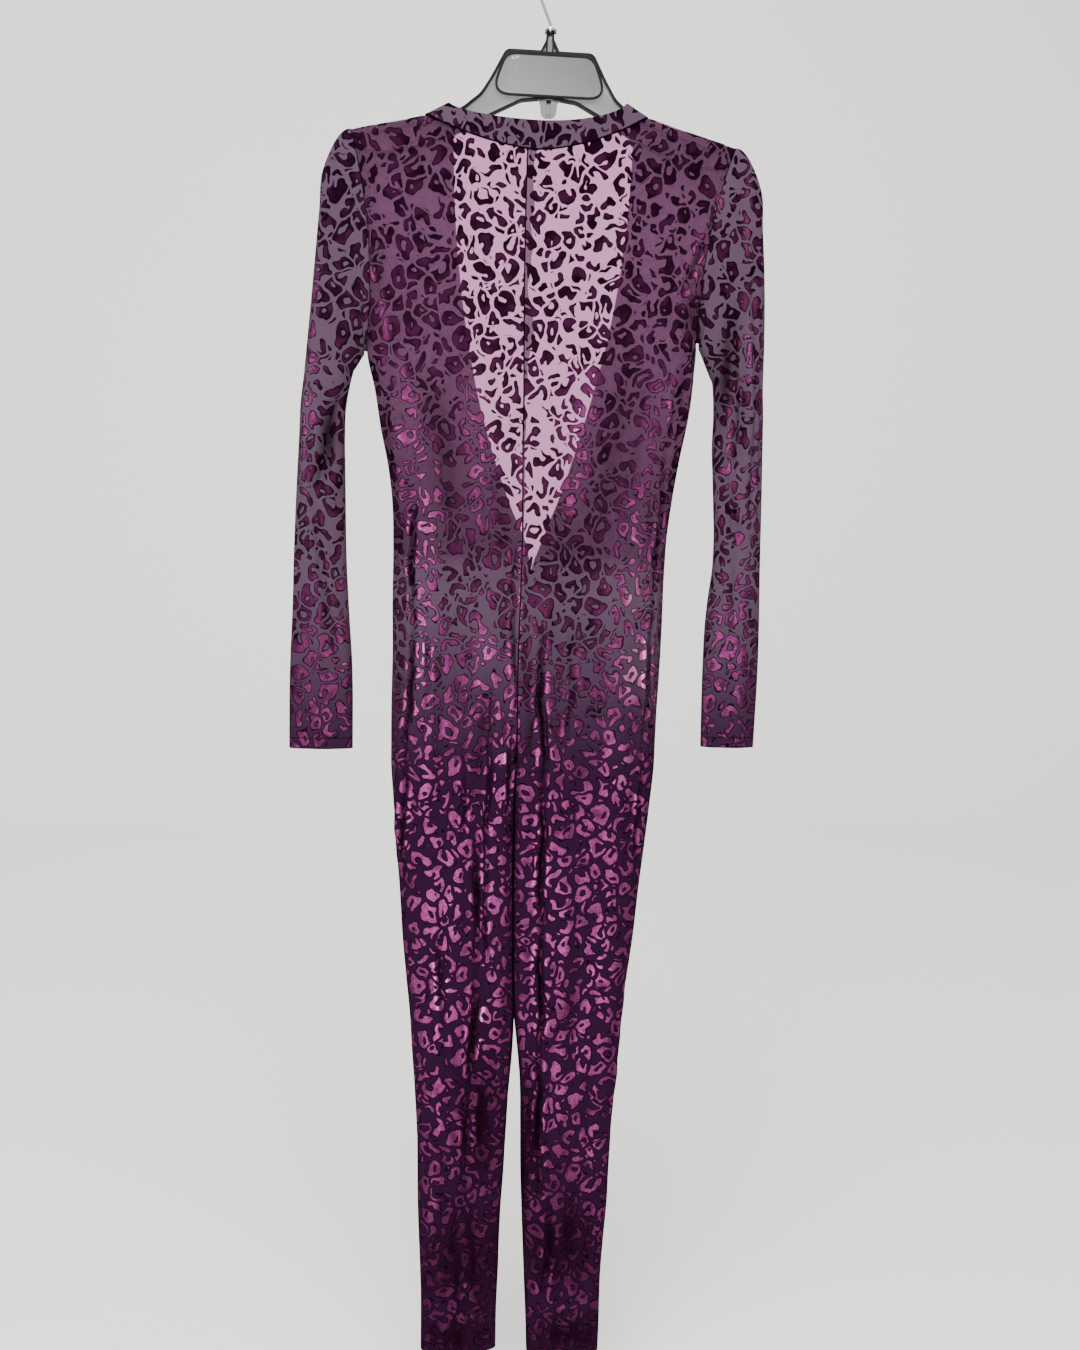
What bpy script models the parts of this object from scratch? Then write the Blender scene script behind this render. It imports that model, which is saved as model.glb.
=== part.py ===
"""Long-sleeved catsuit of burnout velvet on a clear plastic hanger, hung by its hook.

Metres, +Z up. The garment's back faces -Y and its open V front faces +Y. The origin is
the point under the top of the hook's wire, where it bears on a rod. Tables are in
millimetres: heights are measured down from the origin, widths from the hanger's axis.
"""
from collections import namedtuple
from math import acos, cos, degrees, pi, radians, sin, sqrt

import bmesh
import bpy
from mathutils import Vector

MM = 0.001
SEAM_GAP = 0.3
CLOTH = 1.6
BAND_CLOTH = 2.0
EDGE_STRIP = 3.0

# Body sections above the crotch: silhouette left and right, half depth, seam places
BodyRow = namedtuple("BodyRow", "height left right depth back_seam front_seam")
BODY = (
    BodyRow(-150, -212, 207, 9, -21, -3),
    BodyRow(-190, -212, 207, 12, -22, -3),
    BodyRow(-250, -204, 194, 16, -23, -3),
    BodyRow(-330, -196, 178, 21, -23, -3),
    BodyRow(-400, -194, 172, 25, -22, -4),
    BodyRow(-455, -183, 170, 26, -21, -5),
    BodyRow(-488, -178, 164, 27, -21, -5),
    BodyRow(-553, -166, 154, 28, -20, -4),
    BodyRow(-622, -163, 148, 29, -19, -3),
    BodyRow(-690, -163, 148, 30, -20, -6),
    BodyRow(-760, -162, 149, 31, -21, -11),
    BodyRow(-830, -164, 147, 31, -20, -17),
    BodyRow(-866, -163, 145, 31, -20, -20),
)

# Leg sections from the crotch to the hems
LegRow = namedtuple("LegRow", "height left_outer left_inner right_inner right_outer depth")
LEGS = (
    LegRow(-866, -163, -20.6, -19.4, 145, 31),
    LegRow(-940, -158, -20.6, -19.4, 140, 29),
    LegRow(-1012, -153, -20.0, -18.8, 133, 27),
    LegRow(-1088, -147, -18.6, -17.2, 126, 25),
    LegRow(-1164, -140, -16.6, -14.4, 119, 24),
    LegRow(-1202, -138, -17, -10, 118, 23),
    LegRow(-1280, -132, -19, -4, 112, 22),
    LegRow(-1360, -128, -22, -2, 109, 21),
    LegRow(-1440, -126, -27, 2, 107, 20),
    LegRow(-1522, -123, -28, 6, 103, 19),
    LegRow(-1607, -122, -28, 11, 103, 18),
    LegRow(-1635, -122, -28, 12, 103, 17),
)

# Sleeve sections below the underarm
SleeveRow = namedtuple("SleeveRow", "height left_outer left_inner right_inner right_outer depth")
SLEEVES = (
    SleeveRow(-430, -261, -208, 194, 252, 20),
    SleeveRow(-462, -265, -215, 197, 254, 21),
    SleeveRow(-494, -267, -217, 197, 255, 21),
    SleeveRow(-560, -271, -216, 202, 257, 19),
    SleeveRow(-626, -274, -215, 205, 259, 17),
    SleeveRow(-694, -276, -212, 199, 262, 15),
    SleeveRow(-764, -279, -208, 198, 264, 12),
    SleeveRow(-856, -280, -208, 200, 264, 9),
)

# The outer line of a sleeve's head, from the shoulder tip down: distance out and height
HeadRow = namedtuple("HeadRow", "height left right")
SLEEVE_HEAD = (
    HeadRow(-179, 211, 207),
    HeadRow(-186, 223, 219),
    HeadRow(-197, 233, 229),
    HeadRow(-212, 239, 236),
    HeadRow(-242, 243, 240),
    HeadRow(-304, 249, 246),
    HeadRow(-367, 255, 250),
    HeadRow(-430, 261, 252),
)

# The two halves of the garment: sign of X, neck point, shoulder tip, underarm, drop of
# the front neck from the neck point to the top of the V, cuff and ankle hems
Half = namedtuple("Half", "name side neck_x neck_z tip_x tip_z under_x under_z v_drop cuff_z hem_z")
HALVES = (
    Half("left", -1, -132, -161.5, -211, -179, -194, -408, 16.5, -853, -1623),
    Half("right", 1, 109, -152.5, 207, -178, 173, -386, 10.0, -848, -1633),
)

# The armhole loop from the shoulder ridge to the underarm: share of the drop, half depth
ArmholeRow = namedtuple("ArmholeRow", "share depth")
ARMHOLE = (
    ArmholeRow(0.0, SEAM_GAP / 2),
    ArmholeRow(0.0, 4.5),
    ArmholeRow(0.012, 7.0),
    ArmholeRow(0.045, 8.6),
    ArmholeRow(0.11, 10.0),
    ArmholeRow(0.20, 12.5),
    ArmholeRow(0.31, 15.0),
    ArmholeRow(0.44, 16.5),
    ArmholeRow(0.57, 17.0),
    ArmholeRow(0.70, 16.0),
    ArmholeRow(0.82, 13.5),
    ArmholeRow(0.91, 10.0),
    ArmholeRow(0.97, 6.0),
    ArmholeRow(1.0, SEAM_GAP / 2),
)
ARMHOLE_BOW = 11.0
# Drops below the neck seam of the panels' first rows, and the gap at the neck point
NECK_STRIPS = (0.0, 3.0, 7.0)
NECK_POINT_GAP = 1.0

# Columns of a panel from its inner edge to its side: share across the body, and share
# along the neck seam or, past the neck point, along the shoulder
Column = namedtuple("Column", "body neck shoulder")
COLUMNS = (
    Column(0.0, 0.0, None),
    Column(0.02, 0.03, None),
    Column(0.15, 0.20, None),
    Column(0.29, 0.42, None),
    Column(0.42, 0.64, None),
    Column(0.54, 0.84, None),
    Column(0.65, 0.96, None),
    Column(0.75, None, 0.0),
    Column(0.84, None, 0.30),
    Column(0.92, None, 0.60),
    Column(0.955, None, 0.84),
    Column(1.0, None, 1.0),
    Column(1.0, None, 1.0),
)
LAST = len(COLUMNS) - 1
NECK_COUNT = sum(column.neck is not None for column in COLUMNS)

# The strip beside the armhole seam turns sideways near the underarm: shares of the drop
YOKE_STRIP = 2.4
YOKE_TURN_START = 0.7
YOKE_TURN_LENGTH = 0.27
# Shares of the drop over which the neck's and the shoulder's depths grow to the chest's
NECK_BLEND = 0.12
SHOULDER_BLEND = 0.15
ARMHOLE_PULL = 6

# How square the sections are: body ovals, leg and sleeve ovals, neck oval
BODY_ROUND = 2.6
LIMB_ROUND = 0.8
NECK_ROUND = 4
# Shares of a torso section over which folds fade at its inner edge and its side
FOLD_EDGES = (0.12, 0.08)

# Neck opening and the V: how far the neck seam reaches, its middle, its dip and the V's run
NECK_SPREAD = {"back": 1.0, "front": 0.9}
NECK_MIDDLE_X = -11.5
NECK_MIDDLE_Z = -191.5
NECK_DEPTH = 12.0
NECK_DIP = 1.7
RIDGE_DEPTH = 6.3
V_TIP_Z = -629.0
V_HEIGHT = 447.0
V_HALF_WIDTH = 98.0
V_CURVE = 0.85

# Collar band: its top edge, the rise to each neck point, the lean inward toward the neck
# points with its power, and the lift of its lower edge there with its power
BAND_TOP_Z = -162.5
BAND_RISE = {"left": 14.0, "right": 24.0}
BAND_LEAN = 0.2
LEAN_POWER = 3
BAND_LIFT = 2.2
LIFT_POWER = 12

# Where the torso turns into two legs, and the number of sections of each length
HIP_Z = -650.0
CROTCH_Z = -866.0
CROTCH_CURVE = 45.0
CROTCH_STEPS = (0.4, 0.7, 0.9)
CROTCH_REACH = 0.35
TORSO_ROWS = 10
LEG_STEPS = 15
SLEEVE_HEAD_STEPS = 6
SLEEVE_STEPS = 12
SLEEVE_SEAM = 0.5

# Main folds of the body: which face, place across at top and bottom, stretch of height,
# half width and depth, inward when negative
Fold = namedtuple("Fold", "face top_x bottom_x top_z bottom_z width depth")
FOLDS = (
    Fold("back", 14, 9, -680, -1230, 18, -9),
    Fold("back", -48, -66, -760, -1300, 18, -8),
    Fold("back", -20, -20, -560, -850, 15, -5),
    Fold("back", -128, -120, -540, -960, 20, 5),
    Fold("back", 92, 84, -580, -1030, 22, 6),
    Fold("back", 58, 62, -680, -1290, 18, -7),
    Fold("back", -104, -96, -680, -1220, 17, -7),
    Fold("back", 84, 70, -1180, -1500, 18, -6),
    Fold("back", -60, -84, -1330, -1590, 18, -6),
    Fold("front", 40, 34, -640, -1190, 20, -9),
    Fold("front", -62, -70, -630, -1270, 20, -8),
    Fold("front", 100, 90, -700, -1080, 20, 6),
    Fold("front", -118, -108, -600, -1010, 20, -7),
    Fold("front", 76, 62, -1120, -1540, 18, -6),
    Fold("front", -96, -70, -1240, -1580, 18, -6),
)
FOLD_FADE = 90.0

# Folds of the sleeves: which sleeve and face, share from its outer edge to its inner one
# at top and bottom, stretch of height, half width as a share and depth
SleeveFold = namedtuple("SleeveFold", "half face top_share bottom_share top_z bottom_z width depth")
SLEEVE_FOLDS = (
    SleeveFold("left", "back", 1.0, 0.35, -440, -590, 0.22, -9),
    SleeveFold("left", "back", 0.35, 0.8, -540, -780, 0.20, -5),
    SleeveFold("left", "front", 0.7, 0.3, -400, -640, 0.25, -7),
    SleeveFold("right", "back", 0.55, 0.6, -330, -560, 0.22, -9),
    SleeveFold("right", "back", 0.9, 0.3, -520, -700, 0.22, -6),
    SleeveFold("right", "front", 0.4, 0.65, -380, -660, 0.25, -7),
)
SLEEVE_FOLD_FADE = 60.0

# Hanger, all in millimetres: half outline from the stem's top round the arm to the middle
HANGER_DEPTH = 8.0
FLANGE = 2.0
WEB = 2.0
STEM = ((4.0, -70.5), (4.0, -78.0), (10.0, -89.5))
PLATE_CORNER = ((47.0, -89.5), (51.0, -92.0), (62.0, -117.0))
ARM_TOP = (
    (73, -134.5), (80, -142.0), (92, -150.0), (101, -155.0), (111, -159.5), (132, -168.0),
    (170, -176.5), (204, -184.0),
)
ARM_TIP = ((210.5, -186.0), (213.5, -193.0), (210.5, -201.0))
ARM_UNDER = (
    (202, -206), (170, -200), (132, -192), (111, -184.5), (93, -174.5), (63, -157.5),
    (30, -142), (13, -138),
)
PLATE_THICK = 1.6
PLATE_OUTLINE = (
    (-44, -91), (44, -91), (48, -94), (62, -126), (61, -132), (55, -137),
    (-55, -137), (-61, -132), (-62, -126), (-48, -94),
)
LUG_WIRE = 2.0
LUG_PATH = (
    (-10.5, -138.3), (-10.5, -144), (-9, -149), (-6, -153), (-2, -154.8),
    (2, -154.8), (6, -153), (9, -149), (10.5, -144), (10.5, -138.3),
)
FERRULE_RADIUS = 3.6
FERRULE_TOP = -64.6
HOOK_WIRE = 1.5
HOOK_RADIUS = 18.0
HOOK_REACH = 48.0
HOOK_FOOT = (0.3, 2.5)
HOOK_END_ANGLE = -28.0
HOOK_STEPS = 26
WIRE_SIDES = 2
FERRULE_SIDES = 24


def between(rows, height):
    """The row at a height, on a smooth curve through the rows of a table."""
    if height >= rows[0].height:
        return rows[0]
    if height <= rows[-1].height:
        return rows[-1]
    low = next(i for i, row in enumerate(rows) if row.height <= height)
    above, below = rows[low - 1], rows[low]
    before, after = rows[max(low - 2, 0)], rows[min(low + 1, len(rows) - 1)]
    span = above.height - below.height
    t = (above.height - height) / span
    values = []
    for a, b, c, d in zip(before, above, below, after):
        rate_b = (c - a) / (before.height - below.height) * span
        rate_c = (d - b) / (above.height - after.height) * span
        values.append(
            b * (2 * t**3 - 3 * t**2 + 1)
            + rate_b * (t**3 - 2 * t**2 + t)
            + c * (3 * t**2 - 2 * t**3)
            + rate_c * (t**3 - t**2)
        )
    return type(above)(*values)


def mix(a, b, share):
    return a + (b - a) * share


def ease(share):
    share = min(max(share, 0.0), 1.0)
    return share * share * (3 - 2 * share)


def fold_depth(face, x, z):
    """How far the folds push the cloth outward at a place on the front or back."""
    total = 0.0
    for fold in FOLDS:
        if fold.face != face or not fold.bottom_z < z < fold.top_z:
            continue
        share = (fold.top_z - z) / (fold.top_z - fold.bottom_z)
        across = abs(x - mix(fold.top_x, fold.bottom_x, share)) / fold.width
        if across < 1:
            fade = ease((fold.top_z - z) / FOLD_FADE) * ease((z - fold.bottom_z) / FOLD_FADE)
            total += fold.depth * fade * ease(1 - across)
    return total


def sleeve_fold_depth(half, face, share, z):
    """How far the folds push a sleeve's cloth outward at a share from its outer edge."""
    total = 0.0
    for fold in SLEEVE_FOLDS:
        if (fold.half, fold.face) != (half.name, face) or not fold.bottom_z < z < fold.top_z:
            continue
        along = (fold.top_z - z) / (fold.top_z - fold.bottom_z)
        across = abs(share - mix(fold.top_share, fold.bottom_share, along)) / fold.width
        if across < 1:
            fade = min(fold.top_z - z, z - fold.bottom_z) / SLEEVE_FOLD_FADE
            total += fold.depth * ease(fade) * ease(1 - across)
    return total


def v_half_width(z):
    """Half width of the open V at a height: nought at its tip, full at the neck."""
    share = min(max((z - V_TIP_Z) / V_HEIGHT, 0.0), 1.0)
    return V_HALF_WIDTH * sin(pi / 2 * share**V_CURVE)


def centre_edge(half, face, z):
    """Where a panel's inner edge lies: the centre back seam, the V or the centre front seam."""
    row = between(BODY, z)
    if face == "back":
        return row.back_seam + half.side * SEAM_GAP / 2
    return row.front_seam + half.side * max(v_half_width(z), SEAM_GAP / 2)


def neck_seam(half, face, x):
    """Half depth and height of the collar seam at a place across the neck."""
    across = min((x - NECK_MIDDLE_X) / (half.neck_x - NECK_MIDDLE_X), 1.0)
    across = max(across, 0.0)
    depth = RIDGE_DEPTH + (NECK_DEPTH - RIDGE_DEPTH) * sqrt(1 - across**NECK_ROUND)
    if face == "back":
        return depth, mix(NECK_MIDDLE_Z, half.neck_z, across**NECK_DIP)
    v_top = BODY[0].front_seam + half.side * V_HALF_WIDTH
    start = (v_top - NECK_MIDDLE_X) / (half.neck_x - NECK_MIDDLE_X)
    return depth, half.neck_z - half.v_drop * min((1 - across) / (1 - start), 1.0)


def top_line(half, face):
    """The panel's top edge, column by column: place across, half depth and height."""
    points = []
    start = centre_edge(half, face, half.neck_z if face == "front" else NECK_MIDDLE_Z)
    for column in COLUMNS:
        if column.neck is not None:
            x = mix(start, half.neck_x, column.neck * NECK_SPREAD[face])
            points.append((x, *neck_seam(half, face, x)))
            continue
        x = mix(half.neck_x, half.tip_x, column.shoulder)
        points.append((x, SEAM_GAP / 2, mix(half.neck_z, half.tip_z, column.shoulder)))
    return points


def armhole_x(half, share):
    """Distance across of the armhole seam at a share of its drop."""
    bow = ARMHOLE_BOW * 4 * share * (1 - share)
    return mix(half.tip_x, half.under_x, share) - half.side * bow


def body_curve(half, face, z):
    """One torso section below the underarm, from the centre seam to the side seam."""
    row = between(BODY, z)
    side_x = row.left if half.side < 0 else row.right
    axis = (row.left + row.right) / 2
    inner = centre_edge(half, face, z)
    points = []
    for index, column in enumerate(COLUMNS):
        x = mix(inner, side_x, column.body)
        across = min(abs(x - axis) / abs(side_x - axis), 1.0)
        depth = EDGE_STRIP + (row.depth - EDGE_STRIP) * sqrt(1 - across**BODY_ROUND)
        if 1 < index < LAST - 1:
            fade = min(column.body / FOLD_EDGES[0], (1 - column.body) / FOLD_EDGES[1])
            depth += fold_depth(face, x, z) * ease(fade)
        if index == LAST:
            depth = SEAM_GAP / 2
        points.append((x, depth, z))
    points[0] = (points[0][0], points[1][1], z)
    return points


def leg_curve(half, face, z):
    """One half of a leg's section, from the inseam round to the side seam."""
    row = between(LEGS, z)
    outer, inner = row.left_outer, row.left_inner
    if half.side > 0:
        outer, inner = row.right_outer, row.right_inner
    points = []
    for index in range(LAST + 1):
        angle = pi * min(max(index - 1, 0), LAST - 2) / (LAST - 2)
        x = mix(inner, outer, (1 - cos(angle)) / 2)
        depth = EDGE_STRIP + (row.depth - EDGE_STRIP) * max(sin(angle), 0.0) ** LIMB_ROUND
        if 2 < index < LAST - 2:
            depth += fold_depth(face, x, z)
        if index in (0, LAST):
            depth = SEAM_GAP / 2
        points.append((x, depth, z))
    return points


def yoke_curve(half, face, level, top, chest):
    """One section between the top edge and the underarm, out to the armhole seam."""
    armhole = ARMHOLE[level]
    top_start, top_end = top[0][0], top[-1][0]
    points = []
    for index, column in enumerate(COLUMNS):
        top_x, top_depth, top_z = top[index]
        on_neck = column.neck is not None
        z = mix(top_z, half.under_z, armhole.share)
        if on_neck and level < len(NECK_STRIPS):
            z = top_z - NECK_STRIPS[level]
        inner = top_start if level == 0 else centre_edge(half, face, z)
        outer = armhole_x(half, armhole.share)
        top_share = (top_x - top_start) / (top_end - top_start)
        x = mix(inner, outer, mix(top_share, column.body, armhole.share))
        body_depth = between(BODY, z).depth
        depth = body_depth * mix(1.0, chest[index][1] / body_depth, armhole.share**2)
        if on_neck:
            depth = mix(top_depth, depth, ease(armhole.share / NECK_BLEND))
        elif level < 2:
            depth = armhole.depth
        else:
            depth = mix(armhole.depth, depth, ease(armhole.share / SHOULDER_BLEND))
        if not on_neck and column.shoulder == 0.0 and level == 0:
            depth = NECK_POINT_GAP
        depth = mix(depth, armhole.depth, column.body**ARMHOLE_PULL)
        if index == LAST - 1:
            turn = radians(90 * ease((armhole.share - YOKE_TURN_START) / YOKE_TURN_LENGTH))
            x = outer - half.side * YOKE_STRIP * cos(turn)
            depth = armhole.depth + YOKE_STRIP * sin(turn)
        points.append((x, depth, z))
    return points


def torso_section(half, face, z):
    """A torso section that turns into the top of a leg as it nears the crotch."""
    crotch_share = min(max(1 - (z - CROTCH_Z) / CROTCH_CURVE, 0.0), 1.0)
    edge_weight = 1 - sqrt(1 - crotch_share**2)
    side_weight = ease((HIP_Z - z) / (HIP_Z - CROTCH_Z))
    section = []
    for column, torso, leg in zip(COLUMNS, body_curve(half, face, z), leg_curve(half, face, CROTCH_Z)):
        weight = mix(edge_weight, side_weight, ease(column.body / CROTCH_REACH))
        section.append((mix(torso[0], leg[0], weight), mix(torso[1], leg[1], weight), z))
    return section


def panel_sections(half, face):
    """All sections of a panel from its top edge to its ankle hem."""
    top = top_line(half, face)
    chest = body_curve(half, face, half.under_z)
    sections = [yoke_curve(half, face, level, top, chest) for level in range(len(ARMHOLE) - 1)]
    crotch_start = CROTCH_Z + CROTCH_CURVE
    heights = [mix(half.under_z, crotch_start, step / TORSO_ROWS) for step in range(TORSO_ROWS + 1)]
    heights += [CROTCH_Z + CROTCH_CURVE * (1 - step) for step in CROTCH_STEPS]
    sections += [torso_section(half, face, z) for z in heights]
    heights = [mix(CROTCH_Z, half.hem_z, step / LEG_STEPS) for step in range(LEG_STEPS + 1)]
    sections += [leg_curve(half, face, z) for z in heights]
    return sections


def sleeve_ring(half, head_share):
    """A sleeve ring from the armhole (0) to just below the underarm (1)."""
    head = between(SLEEVE_HEAD, mix(SLEEVE_HEAD[0].height, SLEEVE_HEAD[-1].height, head_share))
    row = SLEEVES[0]
    outer_x = half.side * (head.left if half.side < 0 else head.right)
    inner_x = mix(half.under_x, row.left_inner if half.side < 0 else row.right_inner, head_share)
    inner_z = mix(half.under_z, row.height, head_share)
    outer_z = mix(half.tip_z, row.height, head_share)
    points = []
    for index, armhole in enumerate(ARMHOLE):
        angle = pi * index / (len(ARMHOLE) - 1)
        down = mix(armhole.share, (1 - cos(angle)) / 2, head_share)
        bow = ARMHOLE_BOW * 4 * armhole.share * (1 - armhole.share) * (1 - head_share)
        x = mix(outer_x, inner_x, down) - half.side * bow
        round_depth = row.depth * max(sin(angle), 0.0) ** LIMB_ROUND
        depth = mix(armhole.depth, round_depth, ease(head_share))
        points.append((x, depth, mix(outer_z, inner_z, down)))
    return points


def sleeve_tube_ring(half, z):
    """A level sleeve ring below the underarm, outer point first."""
    row = between(SLEEVES, z)
    outer, inner = row.left_outer, row.left_inner
    if half.side > 0:
        outer, inner = row.right_outer, row.right_inner
    points = []
    for index in range(len(ARMHOLE)):
        angle = pi * index / (len(ARMHOLE) - 1)
        depth = row.depth * max(sin(angle), 0.0) ** LIMB_ROUND
        points.append((mix(outer, inner, (1 - cos(angle)) / 2), depth, z))
    return points


def close_ring(half, points):
    """A whole ring from its half section: down the back, then up the front."""
    last = len(points) - 1
    ring = [(points[0][0], 0.0, points[0][2])]
    for face, order in (("back", range(1, last)), ("front", range(last, 0, -1))):
        for index in order:
            x, depth, z = points[index]
            share = (1 - cos(pi * index / last)) / 2
            depth += sleeve_fold_depth(half, face, share, z) * sin(pi * share)
            if index == last:
                depth = 0.0
            ring.append((x, -depth if face == "back" else depth, z))
    return ring


def sleeve_sections(half):
    """All rings of a sleeve from the armhole seam to the cuff."""
    seam = [(x + half.side * SLEEVE_SEAM, y, z) for x, y, z in sleeve_ring(half, 0.0)]
    strip = [(x + half.side * EDGE_STRIP, y, z) for x, y, z in seam]
    rings = [seam, strip]
    for step in range(1, SLEEVE_HEAD_STEPS + 1):
        rings.append(sleeve_ring(half, step / SLEEVE_HEAD_STEPS))
    for step in range(1, SLEEVE_STEPS + 1):
        rings.append(sleeve_tube_ring(half, mix(SLEEVES[0].height, half.cuff_z, step / SLEEVE_STEPS)))
    return [close_ring(half, ring) for ring in rings]


def collar_sections():
    """The band's rows from its top edge to its seam, front left end to front right end."""
    stations = []
    for half in HALVES:
        run = [(half, 1, *point) for point in top_line(half, "front")[:NECK_COUNT:2]]
        run.append((half, 0, half.neck_x, 0.0, half.neck_z))
        run += [(half, -1, *point) for point in reversed(top_line(half, "back")[:NECK_COUNT])]
        stations += run if half.side < 0 else run[-2::-1]
    rows = [[], [], []]
    for half, facing, x, depth, z in stations:
        across = max((x - NECK_MIDDLE_X) / (half.neck_x - NECK_MIDDLE_X), 0.0)
        top_x = NECK_MIDDLE_X + (x - NECK_MIDDLE_X) * (1 - BAND_LEAN * across**LEAN_POWER)
        top_z = BAND_TOP_Z + BAND_RISE[half.name] * across**2
        base_z = z + SEAM_GAP + BAND_LIFT * across**LIFT_POWER
        for row, share in zip(rows, (1.0, 0.5, 0.0)):
            row.append((mix(x, top_x, share), facing * depth, mix(base_z, top_z, share)))
    return rows


def surface(name, sections, closed=False, flip=False):
    """An open surface through sections of equal length, in metres."""
    mesh = bpy.data.meshes.new(name)
    count = len(sections[0])
    points = [Vector(p) * MM for section in sections for p in section]
    faces = []
    for row in range(len(sections) - 1):
        for column in range(count if closed else count - 1):
            after = (column + 1) % count
            face = (
                row * count + column,
                (row + 1) * count + column,
                (row + 1) * count + after,
                row * count + after,
            )
            faces.append(face[::-1] if flip else face)
    mesh.from_pydata(points, [], faces)
    mesh.shade_smooth()
    return bpy.data.objects.new(name, mesh)


def material(name, colour, roughness, metallic=0.0):
    made = bpy.data.materials.new(name)
    made.use_nodes = True
    shader = made.node_tree.nodes["Principled BSDF"]
    shader.inputs["Base Color"].default_value = (*colour, 1.0)
    shader.inputs["Roughness"].default_value = roughness
    shader.inputs["Metallic"].default_value = metallic
    return made


def add_cloth(obj, thickness, finish, collection):
    """Give a surface its wall, inward from the outer face, and its material."""
    wall = obj.modifiers.new("wall", "SOLIDIFY")
    wall.thickness = thickness * MM
    wall.offset = -1.0
    obj.data.materials.append(finish)
    collection.objects.link(obj)


def make_garment(collection):
    body_velvet = material("burnout_velvet_body", (0.12, 0.045, 0.10), 0.6)
    sleeve_velvet = material("burnout_velvet_sleeve", (0.08, 0.03, 0.07), 0.6)
    band_velvet = material("burnout_velvet_band", (0.06, 0.02, 0.05), 0.6)
    for half in HALVES:
        for face in ("back", "front"):
            sections = [
                [(x, -y if face == "back" else y, z) for x, y, z in section]
                for section in panel_sections(half, face)
            ]
            flip = (half.side > 0) == (face == "front")
            panel = surface(f"{face}_{half.name}", sections, flip=flip)
            add_cloth(panel, CLOTH, body_velvet, collection)
        sleeve = surface(f"sleeve_{half.name}", sleeve_sections(half), closed=True, flip=half.side > 0)
        add_cloth(sleeve, CLOTH, sleeve_velvet, collection)
    add_cloth(surface("collar_band", collar_sections()), BAND_CLOTH, band_velvet, collection)


def prism(name, outline, y_front, y_back):
    """A flat solid from an outline in X and Z, between two depths."""
    shape = bmesh.new()
    ring = [shape.verts.new(Vector((x, y_front, z)) * MM) for x, z in outline]
    face = shape.faces.new(ring)
    shape.normal_update()
    if face.normal.y > 0:
        face.normal_flip()
    grown = bmesh.ops.extrude_face_region(shape, geom=[face])
    moved = [item for item in grown["geom"] if isinstance(item, bmesh.types.BMVert)]
    bmesh.ops.translate(shape, verts=moved, vec=Vector((0, (y_back - y_front) * MM, 0)))
    bmesh.ops.recalc_face_normals(shape, faces=shape.faces)
    mesh = bpy.data.meshes.new(name)
    shape.to_mesh(mesh)
    shape.free()
    return bpy.data.objects.new(name, mesh)


def hanger_body():
    """The moulded arms: a thin web inside a flange that follows the whole outline."""
    half = STEM + PLATE_CORNER + ARM_TOP + ARM_TIP + ARM_UNDER
    outline = list(half) + [(-x, z) for x, z in reversed(half)]
    obj = prism("hanger_body", outline, -HANGER_DEPTH / 2, HANGER_DEPTH / 2)
    shape = bmesh.new()
    shape.from_mesh(obj.data)
    for face in [face for face in shape.faces if len(face.verts) > 4]:
        inward = -face.normal.copy()
        bmesh.ops.inset_region(shape, faces=[face], thickness=FLANGE * MM, use_even_offset=True)
        pocket = bmesh.ops.extrude_face_region(shape, geom=[face])
        floor = [item for item in pocket["geom"] if isinstance(item, bmesh.types.BMVert)]
        bmesh.ops.translate(shape, verts=floor, vec=inward * (HANGER_DEPTH - WEB) / 2 * MM)
        bmesh.ops.delete(shape, geom=[face], context="FACES_ONLY")
    bmesh.ops.recalc_face_normals(shape, faces=shape.faces)
    shape.to_mesh(obj.data)
    shape.free()
    return obj


def wire(name, path, radius):
    """A round wire through points in the plane of the hanger."""
    curve = bpy.data.curves.new(name, "CURVE")
    curve.dimensions = "3D"
    curve.bevel_depth = radius * MM
    curve.bevel_resolution = WIRE_SIDES
    curve.use_fill_caps = True
    spline = curve.splines.new("POLY")
    spline.points.add(len(path) - 1)
    for point, (x, z) in zip(spline.points, path):
        point.co = (x * MM, 0.0, z * MM, 1.0)
    return bpy.data.objects.new(name, curve)


def hook_path():
    """Up from the ferrule, round the left and over the top, to a tip on the right."""
    centre = HOOK_WIRE - HOOK_RADIUS
    start_angle = 270.0 - degrees(acos(HOOK_RADIUS / HOOK_REACH))
    arc = []
    for step in range(HOOK_STEPS + 1):
        angle = radians(mix(start_angle, HOOK_END_ANGLE, step / HOOK_STEPS))
        arc.append((HOOK_RADIUS * cos(angle), centre + HOOK_RADIUS * sin(angle)))
    foot_z = centre - HOOK_REACH
    foot = [(0.0, foot_z + rise) for rise in HOOK_FOOT]
    return foot + [(mix(foot[-1][0], arc[0][0], 0.5), mix(foot[-1][1], arc[0][1], 0.5))] + arc


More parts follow.
